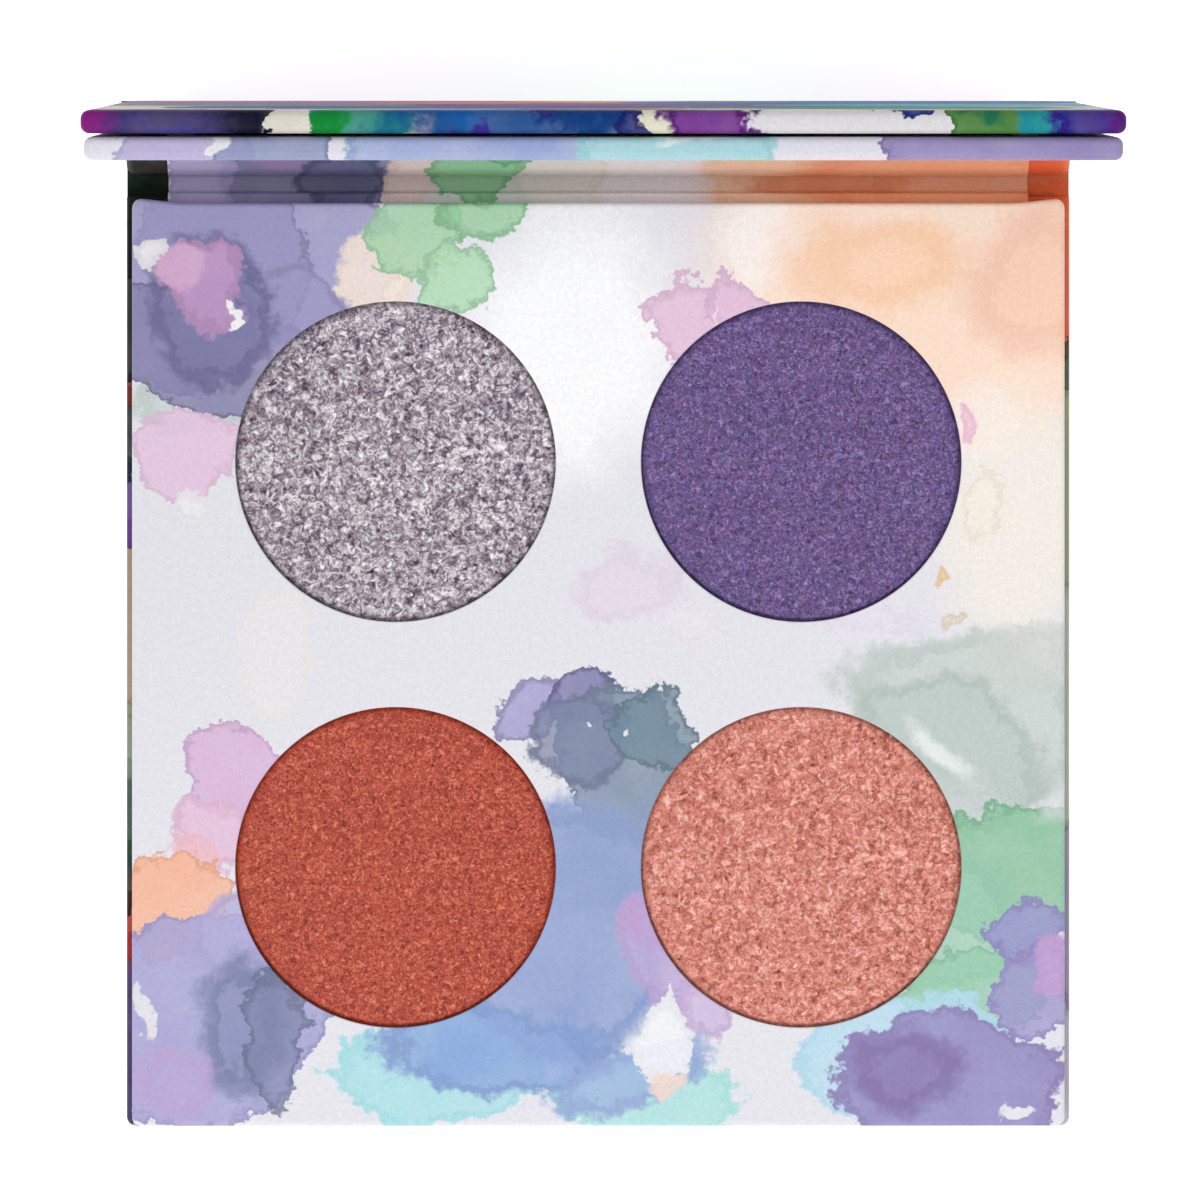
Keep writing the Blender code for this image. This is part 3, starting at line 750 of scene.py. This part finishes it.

# The liner's long way is the spine's. Its washes reach right across the hinge. They carry on the tray's
# print, and the deeper orange around 53 mm, where the strip lies in the groove, is that print with
# painted shade and painted bounce light from the orange paper round it.
LINER_WASHES = washes(
    (30, 55, 22, 24, "FFD3B0", 0.95, 0.05, 4),
    # painted shade and bounce light: the tray's peach drawn deeper orange where the strip lies in the
    # groove
    (36, 54, 18, 14, "F9AE84", 0.85, 0.05, 5),
    (24, 53, 10, 4, "F39A6C", 0.7, 0.05, 2),
    (5, 56, 8, 22, "FBF0F0", 0.9, 0, 3),
    (-4, 58, 5.4, 20, "F4EBE2", 0.85, 0.08, 1),
    (-31, 56, 9.6, 22, "8886AE", 0.97, 0.35),
    (-33.5, 63, 5.4, 6, "B193C2", 0.8, 0.05, 1.6),
    (-27, 54, 5.6, 8, "6B6D94", 0.85, 0.3, 1),
    (-42.5, 57, 3.6, 20, "BDB2DC", 0.95, 0.12),
    (-41, 64, 2.4, 0.8, "F5F3F9", 0.85, 0.05, 0.25, 25),
    (-19.8, 56, 2.8, 18, "F8DFD8", 0.9, 0.05, 0.6),
    (-13.4, 58, 5, 10, "98D6A0", 0.95, 0.25),
    (-9.8, 64, 3.6, 5, "7ECB90", 0.85, 0.25),
    (-11.8, 54.6, 2.8, 0.8, "F6F9F5", 0.85, 0.05, 0.25, 15),
)

# The lid's inner frame. Its free end, at about 104 mm, is the end that shows.
FRAME_WASHES = washes(
    (-40.5, 103, 6.8, 9, "B0A6CD", 0.95, 0.12),
    (-31.5, 104, 5.6, 8, "858FB4", 0.97, 0.35),
    (-37, 104.4, 1.4, 0.9, "E5E5E8", 0.9, 0.05, 0.25, 20),
    (-23, 105, 1.6, 5, "C3DDD4", 0.8, 0.1, 0.5),
    (-12, 103, 12.4, 9, "98A5D0", 0.95, 0.15, 0.6),
    (-9, 104, 5.4, 3, "8B9ACD", 0.6, 0, 2),
    (7, 104, 9.2, 8, "9ACDD4", 0.92, 0.1, 1.2),
    (6, 105.4, 4.2, 0.8, "BBDBBA", 0.8, 0.05, 0.5, 4),
    (9.5, 104.4, 4.2, 0.7, "E5EAEA", 0.85, 0, 0.5, 4),
    (39.6, 103, 13.4, 9, "8B7CB1", 0.97, 0.25),
    (-36, 80, 16, 12, "948FBB", 0.9, 0.35),
    (-46, 58, 8, 13, "D3B3CC", 0.9, 0.25),
    (-47, 30, 9, 14, "9CCAA7", 0.9, 0.35),
    (-40, 8, 13, 8, "E5B79A", 0.9, 0.25),
    (-8, 7, 16, 6, "A3B2D6", 0.9, 0.25),
    (22, 8, 13, 6, "CEAFCE", 0.9, 0.25),
    (46, 20, 8, 18, "A7CFBB"),
    (47, 50, 7, 12, "E9C4A7", 0.9, 0.2, 0.8),
    (46, 78, 9, 11, "9189BA", 0.9, 0.35),
)

# The outer sheet, unfolded: the back cover lies from -49 to 49 mm, the spine from 54 to 66, the lid
# from 70 to 169.
COVER_WASHES = washes(
    # the back cover's left edge, from the front to the spine
    (-50, -40, 14, 12, "3A2460", 0.97),
    (-51, -27, 9, 4.2, "A3261F", 0.95),
    (-52, -22, 10, 4, "14161A", 0.97, 0.2),
    (-52, -15, 10, 5, "1E4A33", 0.95),
    (-52, -8, 9, 4.4, "7C8A78"),
    (-51, 5, 12, 10.5, "9A8862", 0.9, 0.25, 0.6),
    (-51, 17, 10, 3.8, "57308A", 0.95),
    (-52, 24, 10, 5, "132A30", 0.97),
    (-50, 28.5, 8, 1.8, "7A2A22"),
    (-51, 40, 11, 11, "101418", 0.97, 0.2),
    (-47, 52, 6.5, 6.5, "2E6E35", 0.95, 0.35),
    (-47.6, 61, 5, 6, "23563A", 0.95, 0.35),
    # the back cover's right edge
    (53, 41, 13, 9, "E4502A", 0.95, 0.25),
    (52, 56, 9, 12, "E9703F", 0.95, 0.25),
    (52, 31, 9, 3, "1C4A2C"),
    (52, 18, 9, 11, "8C9670", 0.85, 0.2, 0.8),
    (52, -5, 9, 13, "A9B4A4", 0.8, 0.15, 1),
    (51, -26, 9, 10, "8E86A8", 0.85, 0.25, 0.8),
    (50, -44, 11, 9, "B9B2C8", 0.8, 0.2, 0.8),
    # broad pale washes that everything else is painted over
    (0, -22, 46, 30, "8FA8C8", 0.7, 0, 16),
    (4, 26, 44, 24, "B58FB8", 0.6, 0, 14),
    (0, 60, 48, 14, "8AB8A6", 0.6, 0, 8),
    (-30, 96, 34, 28, "9A7FB8", 0.75, 0, 12),
    (24, 106, 34, 32, "74AAB8", 0.7, 0, 14),
    (-10, 136, 40, 22, "6F8CBE", 0.75, 0, 10),
    # underside of the back cover
    (-14, -30, 31.2, 20.8, "1F5FA8", 0.92, 0.35, 1, 12),
    (20, -38, 23.4, 15.6, "0F7A58", 0.9, 0.1, 3, -20),
    (-18, 2, 26, 19.5, "5A2A86", 0.9, 0.4, 0.25, -15),
    (16, -8, 19.5, 16.9, "E8663A", 0.88, 0.1, 5, 25),
    (2, 24, 23.4, 15.6, "2E9E7C", 0.88, 0.4, 1),
    (-26, 34, 22.1, 14.3, "1A2B66", 0.92, 0.1, 3, 20),
    (30, 30, 16.9, 19.5, "A6318C", 0.88, 0.35, 0.25, -10),
    # spine and creases
    (-22, 58, 23.4, 13, "24306E", 0.92, 0.35, 1, 4),
    (12, 59, 22.1, 11.7, "2C8F74", 0.9, 0.1, 3, -3),
    (34, 66, 15.6, 14.3, "6A2C86", 0.9, 0.35),
    # the lid's face
    (-30, 84, 28.6, 20.8, "B03A9A", 0.9, 0.35, 1, 10),
    (-2, 92, 23.4, 18.2, "E46A36", 0.88, 0.1, 3, -12),
    (28, 86, 26, 19.5, "1D62A8", 0.92, 0.35),
    (-34, 112, 22.1, 19.5, "1F7F5C", 0.9, 0.1, 5),
    (6, 118, 26, 20.8, "4B2B8C", 0.92, 0.4, 1, 20),
    (36, 116, 20.8, 18.2, "2FA3B0", 0.88, 0.1, 3),
    (-18, 140, 26, 19.5, "16307C", 0.94, 0.35, 0.25, -10),
    (24, 143, 26, 16.9, "0E6E4E", 0.92, 0.1, 5, 8),
    (0, 160, 9.1, 9.1, "A02434", 0.85, 0.3, 1),
    # the paper turned in at the spine's ends
    (-52, 52, 7.5, 10.5, "0B0E0D", 0.98, 0.1),
    (-53, 69.8, 9, 11, "168238", 0.97, 0.35),
    (-52.5, 57.5, 2.4, 0.7, "A9B49A", 0.85, 0.1, 0.25, -35),
    (55, 58, 5, 14, "EC6A40", 0.97, 0.15, 0.6),
    # the lid's free end, from left to right
    (-42, 169, 9.4, 9, "241866", 0.98, 0.1, 2),
    (-50.6, 168, 6.6, 9, "861A80", 0.98, 0.1, 4.6),
    (-35, 168, 6.6, 8, "07081E", 0.98, 0, 4.6),
    (-41, 170.6, 6, 0.6, "3A3A9A", 0.5, 0, 0.5),
    (-24, 169, 6.4, 7, "0A8A78", 0.98, 0.1, 3),
    (-8, 169, 16, 8, "0A4A8C", 0.98, 0.15, 4),
    (-15, 168.6, 6, 3, "0A5CA6", 0.7, 0, 2.4),
    (-1.5, 167.5, 6, 4, "083C82", 0.9, 0.2, 1.6),
    (-13, 171.2, 3.6, 1.4, "33208A", 0.8, 0.1, 0.8),
    (-5, 167.8, 3.4, 1.4, "221E78", 0.8, 0.1, 0.8),
    (3.4, 170, 2.6, 4, "141E70", 0.85, 0.3, 0.8),
    (-26.6, 170, 2.4, 5, "0A9A3C", 0.97, 0.35, 1.6),
    (-31, 170, 3, 6, "DAD5CB", 1, 0.05),
    (6.6, 170, 1.5, 5, "DDDBC6", 1, 0.05),
    (11, 170, 4, 6, "6E1F8C", 0.98, 0.45, 1.2),
    (23.5, 171, 9.8, 6, "D9D7DA", 1, 0, 0.4),
    (27.8, 167.9, 3.4, 1.9, "0E2E8C", 0.97, 0.35),
    (25.8, 168.2, 1.6, 1.2, "12909E", 0.9, 0.2),
    (39, 170, 7.6, 7, "3C7C2A", 0.98, 0.25),
    (36, 168.4, 4, 1.4, "166E4E", 0.85, 0.1, 1.2),
    (44.4, 170.4, 3.4, 5, "128E9C", 0.92, 0.1, 1.6, -35),
    (49.6, 169, 5.6, 8, "2E1684", 0.98, 0.1, 1.6, -30),
    (51.6, 170, 2.2, 5, "5C147A", 0.85, 0.1, 1.6),
)


# ---- other materials

# Each one's noise, which all else follows, its dark and light tints, its roughness at the ends of the
# noise's range, and its relief's depth in millimetres and strength
PLAIN = {
    "greyboard fibres": dict(noise=(2.2, 5.0, 0.7), tints=("B9B3A8", "D8D3C9"), rough=(0.8, 0.95),
                             relief=(0.05, 0.7), specks="8F887C"),
    "white lined board": dict(noise=(3.0, 4.0, 0.7), tints=("C9C6C6", "E6E4E6"), rough=(0.7, 0.9),
                              relief=(0.03, 0.6)),
    "drawn aluminium": dict(noise=(1.4, 5.0, 0.7), tints=("B4B6BA", "D3D5D8"), rough=(0.22, 0.42),
                            relief=(0.01, 0.4), metallic=1.0),
    "dried glue": dict(noise=(1.1, 3.0, 0.5), tints=("D9D2BE", "EFEBDD"), rough=(0.25, 0.5),
                       relief=(0.1, 0.5)),
    "nickel plate": dict(noise=(3.0, 4.0, 0.6), tints=("A7A49C", "C9C6BE"), rough=(0.15, 0.32),
                         metallic=1.0),
    "mirror silver": dict(noise=(0.09, 4.0, 0.6), tints=("EDF1F1", "F6F8F8"), rough=(0.015, 0.05),
                          span=(0.45, 0.75), metallic=1.0),
}
SPECK_NOISE = (7.0, 2.0, 0.5)
SPECK_SPAN = (0.62, 0.7)


def plain(name, noise, tints, rough, relief=None, span=NEARLY_ALL, metallic=0.0, specks=None):
    g = Graph(name)
    place = g.solid_place()
    grain = g.noise(place, noise).outputs["Fac"]
    tone = g.ramp(grain, [(position, lift(tint)) for position, tint in zip(MOST, tints)])
    if specks:
        specked = g.between(g.noise(place, SPECK_NOISE).outputs["Fac"], *SPECK_SPAN)
        tone = g.mix(specked, tone, lift(specks))
    g.surface("Base Color", tone)
    g.surface("Roughness", g.between(grain, *span, *rough))
    g.surface("Metallic", metallic)
    if relief:
        depth, strength = relief
        g.bump(grain, depth * MM, strength)
    return g.material


# A powder: the tints of its flakes from dark to light, which are partly its own speckle and partly
# painted glints and painted shade on tilted flakes and crumples, their size in millimetres, the noise's
# share in a flake's tint, which paints the crumples' shade, the noise's half range, how metallic and
# rough the flakes are, how steep their facets are, the tint and strength of the rim that the press left,
# and the tints of odd flakes.
Powder = namedtuple(
    "Powder", "tints cell crumple contrast metallic roughness facet rim rim_strength specks",
    defaults=((),))

# The light ends of these ramps, near white in silver, are painted glints, and the dark ends painted shade
# between flakes.
POWDERS = {
    "silver": Powder(
        ((0, "2C1D2C"), (0.22, "6A5468"), (0.44, "9C8C9A"), (0.64, "D0C6CE"), (0.84, "FAF7FB")),
        0.42, 0.72, 0.16, 0.3, 0.36, 0.8, "9A8A96", 0.25),
    "violet": Powder(
        ((0, "1E1030"), (0.3, "503A70"), (0.6, "745A95"), (1, "AF98CE")),
        0.24, 0.74, 0.17, 0.2, 0.5, 0.5, "5E4C88", 0.25, ("3F5CA8", "8E3C82")),
    "copper": Powder(
        ((0, "4A1208"), (0.3, "9E3622"), (0.6, "C8523B"), (1, "F29A7A")),
        0.24, 0.74, 0.17, 0.25, 0.46, 0.5, "C8482C", 0.4),
    "rose": Powder(
        ((0, "74301F"), (0.26, "C06856"), (0.56, "E68E7E"), (0.85, "FFCABC")),
        0.4, 0.75, 0.18, 0.25, 0.42, 0.75, "E2907C", 0.4),
}

# Noises of a powder: their scale for each flake, detail and roughness
SHAKE = (0.9, 3.0, 0.6)
CRUMPLE = (0.55, 4.0, 0.72)
PATCHES = (0.25, 2.0, 0.5)

SWIRL = 1.4
PATCH_TONE = 0.08
ODD_FLAKES = (0.93, 0.95)  # a flake whose random number is over these is an odd one
ODD_STRENGTH = 0.5
RIM = (16.1, 16.5)  # where the rim's tint sets in, mm
RIM_RAGGED = 0.6
CRUMPLE_HEIGHT = 0.12  # of a flake's width
IN_PLANE = (1, 1, 0)


def pressed_powder(name, look):
    """Flakes of mica pressed flat and crumpled: each has its own tilt, and its own tint, partly painted
    glint and shade.
    """
    g = Graph(name)
    place = g.paper_place()
    shake = g.centred(g.noise(place, SHAKE, look.cell))
    bent = g.vector("MULTIPLY_ADD", shake, (look.cell * 2, look.cell * 2, 0), place)
    cell = g.add("TexVoronoi", feature="F1", voronoi_dimensions="2D")
    g.put(cell.inputs["Vector"], bent)
    cell.inputs["Scale"].default_value = 1 / look.cell
    parts = g.add("SeparateColor")
    g.put(parts.inputs[0], cell.outputs["Color"])
    crumple = g.noise(place, CRUMPLE, look.cell)
    crumple.inputs["Distortion"].default_value = SWIRL
    crumple = g.between(crumple.outputs["Fac"], 0.5 - look.contrast, 0.5 + look.contrast)
    # A flake's tone: its own random value, which is speckle and painted glint, and the crumples, which
    # paint their shade into the colour.
    own = g.math("MULTIPLY", parts.outputs[0], 1 - look.crumple)
    tone = g.math("MULTIPLY_ADD", crumple, look.crumple, own)
    patches = g.noise(place, PATCHES, look.cell).outputs["Fac"]
    tone = g.math("ADD", tone, g.between(patches, *MOST, -PATCH_TONE, PATCH_TONE))
    # painted glints and shade: the ramp's light end stands for flakes that catch the light, its dark end
    # for shaded ones
    colour = g.ramp(tone, [(position, lift(tint)) for position, tint in look.tints])
    for tint, channel in zip(look.specks, (1, 2)):
        picked = g.between(parts.outputs[channel], *ODD_FLAKES)
        colour = g.mix(g.math("MULTIPLY", picked, ODD_STRENGTH), colour, lift(tint))
    radius = g.vector("LENGTH", place)
    radius = g.math("MULTIPLY_ADD", g.math("SUBTRACT", crumple, 0.5), RIM_RAGGED, radius)
    rim = g.math("MULTIPLY", g.between(radius, *RIM), look.rim_strength)
    g.surface("Base Color", g.mix(rim, colour, lift(look.rim)))
    g.surface("Roughness", g.between(parts.outputs[1], 0, 1, look.roughness - 0.1, look.roughness + 0.15))
    g.surface("Metallic", look.metallic)
    middle = g.vector("MULTIPLY", cell.outputs["Position"], IN_PLANE)
    away = g.vector("SUBTRACT", g.vector("MULTIPLY", bent, IN_PLANE), middle)
    facet = g.vector("DOT_PRODUCT", away, g.centred(cell))
    folds = g.math("MULTIPLY", crumple, CRUMPLE_HEIGHT * look.cell)
    g.bump(g.math("MULTIPLY_ADD", facet, look.facet, folds), MM, 0.9)
    return g.material


# ---- build

def dress(nodes, material):
    """Gives CAD nodes that stay as they are a better material."""
    for node in nodes:
        mesh = frame["nodes"][node].data
        mesh.materials.clear()
        mesh.materials.append(material)


def make_covers(outer, board):
    wrap("back_cover_skin", "back_board_wrap", BASE_LEAF, "base", outer, COVER_EDGE, False,
         ends=(False, True))
    wrap("spine_skin", "spine_wrap", SPINE_LEAF, "spine", outer, COVER_EDGE, False,
         shift=UNFOLDED_SPINE, ends=(True, True), turn_in=NARROW_TURN_IN)
    wrap("lid_skin", "front_board_wrap", LID_LEAF, "lid", outer, COVER_EDGE, False,
         shift=UNFOLDED_LID, ends=(True, False))
    core("back_cover_core", "back_board", BASE_LEAF, "base", CORE_EDGE, (False, True), board)
    core("spine_core", "spine_board", SPINE_LEAF, "spine", CORE_EDGE, (True, True), board)
    core("lid_core", "front_board", LID_LEAF, "lid", CORE_EDGE, (True, False), board)


def make_tray(tray_print):
    windows = []
    for shade in POWDERS:
        low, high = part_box(f"powder_{shade}")
        middle = (low + high) / 2
        windows.append(round_outline(middle.x, middle.y, WINDOW_RADIUS * MM))
    wrap("tray_skin", "tray_wrap", BASE_LEAF, "base", tray_print, TRAY_EDGE, True,
         windows=windows, flare=FLARE)


def mirror_window():
    low, high = leaf_box("mirror", LID_LEAF)
    gap = np.array([MIRROR_GAP, MIRROR_GAP, 0])
    return box_outline(low - gap, high + gap, PLAN_CORNER)


def make_lid_frame(frame_print, board):
    window = mirror_window()
    wrap("lid_frame_skin", "lid_frame_wrap", LID_LEAF, "lid", frame_print, FRAME_EDGE, True,
         windows=[window], turn_in=NARROW_TURN_IN)
    core("lid_frame_core", "lid_frame_board", LID_LEAF, "lid", CORE_EDGE, (False, False), board, window)


def make_mirror(material):
    """A glass plate with its edges ground to a narrow bevel."""
    low, high = leaf_box("mirror", LID_LEAF)
    skin = Skin()
    outline = box_outline(low, high, PLAN_CORNER)
    rows = [(MIRROR_BEVEL, high[2]), (0.0, high[2] - MIRROR_BEVEL), (0.0, low[2])]
    rings = [skin.ring(outline, inset, z) for inset, z in rows]
    skin.bridge_all(rings)
    skin.cap(rings[0])
    skin.cap(rings[-1])
    obj = new_mesh_object("mirror_plate", LID_LEAF, skin.points, skin.faces, skin.paper, material)
    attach(obj, "lid")
    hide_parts("mirror")


def make_crease_papers(outer):
    """The outer sheet's two strips that cross the creases, between the covers and the spine."""
    middle = PAPER / 2
    base_end = leaf_box("back_board_wrap", BASE_LEAF)[1][1]
    spine_low, spine_high = leaf_box("spine_wrap", SPINE_LEAF)
    lid_start = leaf_box("front_board_wrap", LID_LEAF)[0][1]
    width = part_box("lower_crease_paper")[1].x * 2
    lower = [
        (base_end, middle),
        (LOWER_CREASE - middle * math.tan(SPINE_ANGLE / 2), middle),
        on_leaf(SPINE_LEAF, spine_low[1], middle),
    ]
    obj = strip("lower_crease_skin", softened(lower, CREASE_BEND), width, base_end, outer)
    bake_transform(obj)
    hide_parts("lower_crease_paper")
    upper = [
        on_leaf(SPINE_LEAF, spine_high[1], middle),
        on_leaf(SPINE_LEAF, CREASE_TO_CREASE - middle * math.tan((LID_ANGLE - SPINE_ANGLE) / 2), middle),
        on_leaf(LID_LEAF, lid_start, middle),
    ]
    start = UNFOLDED_SPINE + spine_high[1]
    obj = strip("upper_crease_skin", softened(upper, CREASE_BEND), width, start, outer)
    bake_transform(obj)
    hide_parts("upper_crease_paper")


def make_liner(liner_print):
    """The inner strip, in two halves that meet on the middle of the spine board."""
    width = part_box("hinge_liner")[1].x * 2
    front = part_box("hinge_liner")[0].y
    # The heights of the strip's middle, over the boards and down in a groove
    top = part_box("tray_wrap")[0].z - CLEARANCE - PAPER / 2
    low = PAPER * 1.5 + CLEARANCE
    # How far the strip's middle keeps from a board's side, and from the corners of its folds
    off = PAPER / 2
    folded = off + PAPER + CLEARANCE
    drop = PAPER + CLEARANCE
    cover_rear = LOWER_CREASE - GROOVE
    spine_end = CREASE_TO_CREASE - SPINE_GROOVE
    half = CREASE_TO_CREASE / 2
    lower = [
        (front, top), (cover_rear - folded, top), (cover_rear - off, top - drop),
        (cover_rear - off, low + drop), (cover_rear + PAPER, low), (LOWER_CREASE - MM, low),
    ]
    lower += [on_leaf(SPINE_LEAF, y, z) for y, z in (
        (SPINE_GROOVE + off, low + drop), (SPINE_GROOVE + off, top - drop), (SPINE_GROOVE + folded, top),
        (half, top))]
    obj = strip("hinge_liner_lower_skin", softened(lower, LINER_BEND), width, front, liner_print)
    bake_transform(obj)
    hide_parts("hinge_liner")
    upper = [on_leaf(SPINE_LEAF, y, z) for y, z in (
        (half, top), (spine_end - folded, top), (spine_end - off, top - drop), (spine_end - off, low),
        (CREASE_TO_CREASE - low * math.tan((LID_ANGLE - SPINE_ANGLE) / 2), low))]
    upper += [on_leaf(LID_LEAF, y, z) for y, z in (
        (GROOVE - PAPER, low), (GROOVE + off, low + drop), (GROOVE + off, top - drop),
        (GROOVE + folded, top), (LINER_REACH, top))]
    start = UNFOLDED_SPINE + half + 2 * drop
    obj = strip("hinge_liner_upper_skin", softened(upper, LINER_BEND), width, start, liner_print)
    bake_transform(obj)
    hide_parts("hinge_liner")


def make_powders():
    for seed, (shade, look) in enumerate(POWDERS.items()):
        material = pressed_powder(f"{shade} powder", look)
        powder(shade, 10 * seed + 3, look.cell, material)


# ---- studio

CAMERA_PLACE = (-5.24 * MM, 6.3 * MM, 1130.2 * MM)
CAMERA_YAW = math.radians(0.276)
SENSOR = 36.0
LENS = 319.1


def make_camera():
    data = bpy.data.cameras.new("camera")
    data.sensor_width = SENSOR
    data.lens = LENS
    data.clip_end = 10
    camera = bpy.data.objects.new("camera", data)
    camera.location = CAMERA_PLACE
    camera.rotation_euler = (0, -CAMERA_YAW, 0)
    bpy.context.scene.collection.objects.link(camera)
    bpy.context.scene.camera = camera


# Soft boxes round the camera: (name, place, power)
STUDIO_LIGHTS = (
    ("front softbox", (-0.2, -0.66, 1.1), 8.2),
    ("back softbox", (0.2, 0.62, 1.15), 1.0),
    ("left softbox", (-0.68, 0.0, 1.15), 2.4),
    ("right softbox", (0.68, -0.1, 1.15), 2.4),
)
LIGHT_AIM = (0, 0, 0.01)
LIGHT_SIZE = 0.45
WORLD_GLOW = 0.5
FLOOR_GLOW = 0.5
FLOOR_REACH = 4.0
WHITE = (1, 1, 1, 1)


def area_light(name, place, power):
    data = bpy.data.lights.new(name, "AREA")
    data.shape = "DISK"
    data.size = LIGHT_SIZE
    data.energy = power
    light = bpy.data.objects.new(name, data)
    light.location = place
    light.rotation_euler = (Vector(LIGHT_AIM) - Vector(place)).to_track_quat("-Z", "Y").to_euler()
    bpy.context.scene.collection.objects.link(light)


def make_floor():
    reach = FLOOR_REACH
    mesh = bpy.data.meshes.new("floor")
    corners = [(-reach, -reach, 0), (reach, -reach, 0), (reach, reach, 0), (-reach, reach, 0)]
    mesh.from_pydata(corners, [], [(0, 1, 2, 3)])
    g = Graph("floor paint")
    g.surface("Base Color", (0.95, 0.95, 0.955, 1))
    g.surface("Roughness", 0.9)
    g.surface("Specular IOR Level", 0.1)
    g.surface("Emission Color", WHITE)
    g.surface("Emission Strength", FLOOR_GLOW)
    mesh.materials.append(g.material)
    floor = bpy.data.objects.new("floor", mesh)
    bpy.context.scene.collection.objects.link(floor)


def make_studio():
    scene = bpy.context.scene
    world = bpy.data.worlds.new("studio")
    world.use_nodes = True
    background = world.node_tree.nodes["Background"]
    background.inputs["Color"].default_value = WHITE
    background.inputs["Strength"].default_value = WORLD_GLOW
    scene.world = world
    scene.view_settings.view_transform = "Standard"
    for light in STUDIO_LIGHTS:
        area_light(*light)
    make_floor()


def main():
    outer = printed_paper("outer print", "CFC6BC", COVER_WASHES, 0.55, warp=6.5, thinnest=0.9, gloss=0.08)
    tray_print = printed_paper("tray print", "E6E5EC", TRAY_WASHES, 0.5)
    liner_print = printed_paper("liner print", "ECE8EA", LINER_WASHES, 0.5, warp=2.4)
    frame_print = printed_paper("frame print", "D9D8E2", FRAME_WASHES, 0.5)
    plains = {name: plain(name, **look) for name, look in PLAIN.items()}
    board = plains["greyboard fibres"]
    make_covers(outer, board)
    make_tray(tray_print)
    make_lid_frame(frame_print, board)
    make_mirror(plains["mirror silver"])
    make_crease_papers(outer)
    make_liner(liner_print)
    make_powders()
    nodes = frame["nodes"]
    dress(["tray_floor_board", "pan_frame_lower_board", "pan_frame_upper_board"], board)
    dress(["tray_top_board"], plains["white lined board"])
    dress([f"pan_{shade}" for shade in POWDERS], plains["drawn aluminium"])
    dress([n for n in nodes if n.startswith("pan_glue") or n == "mirror_adhesive"], plains["dried glue"])
    dress([n for n in nodes if "magnet" in n], plains["nickel plate"])
    make_studio()
    make_camera()


main()
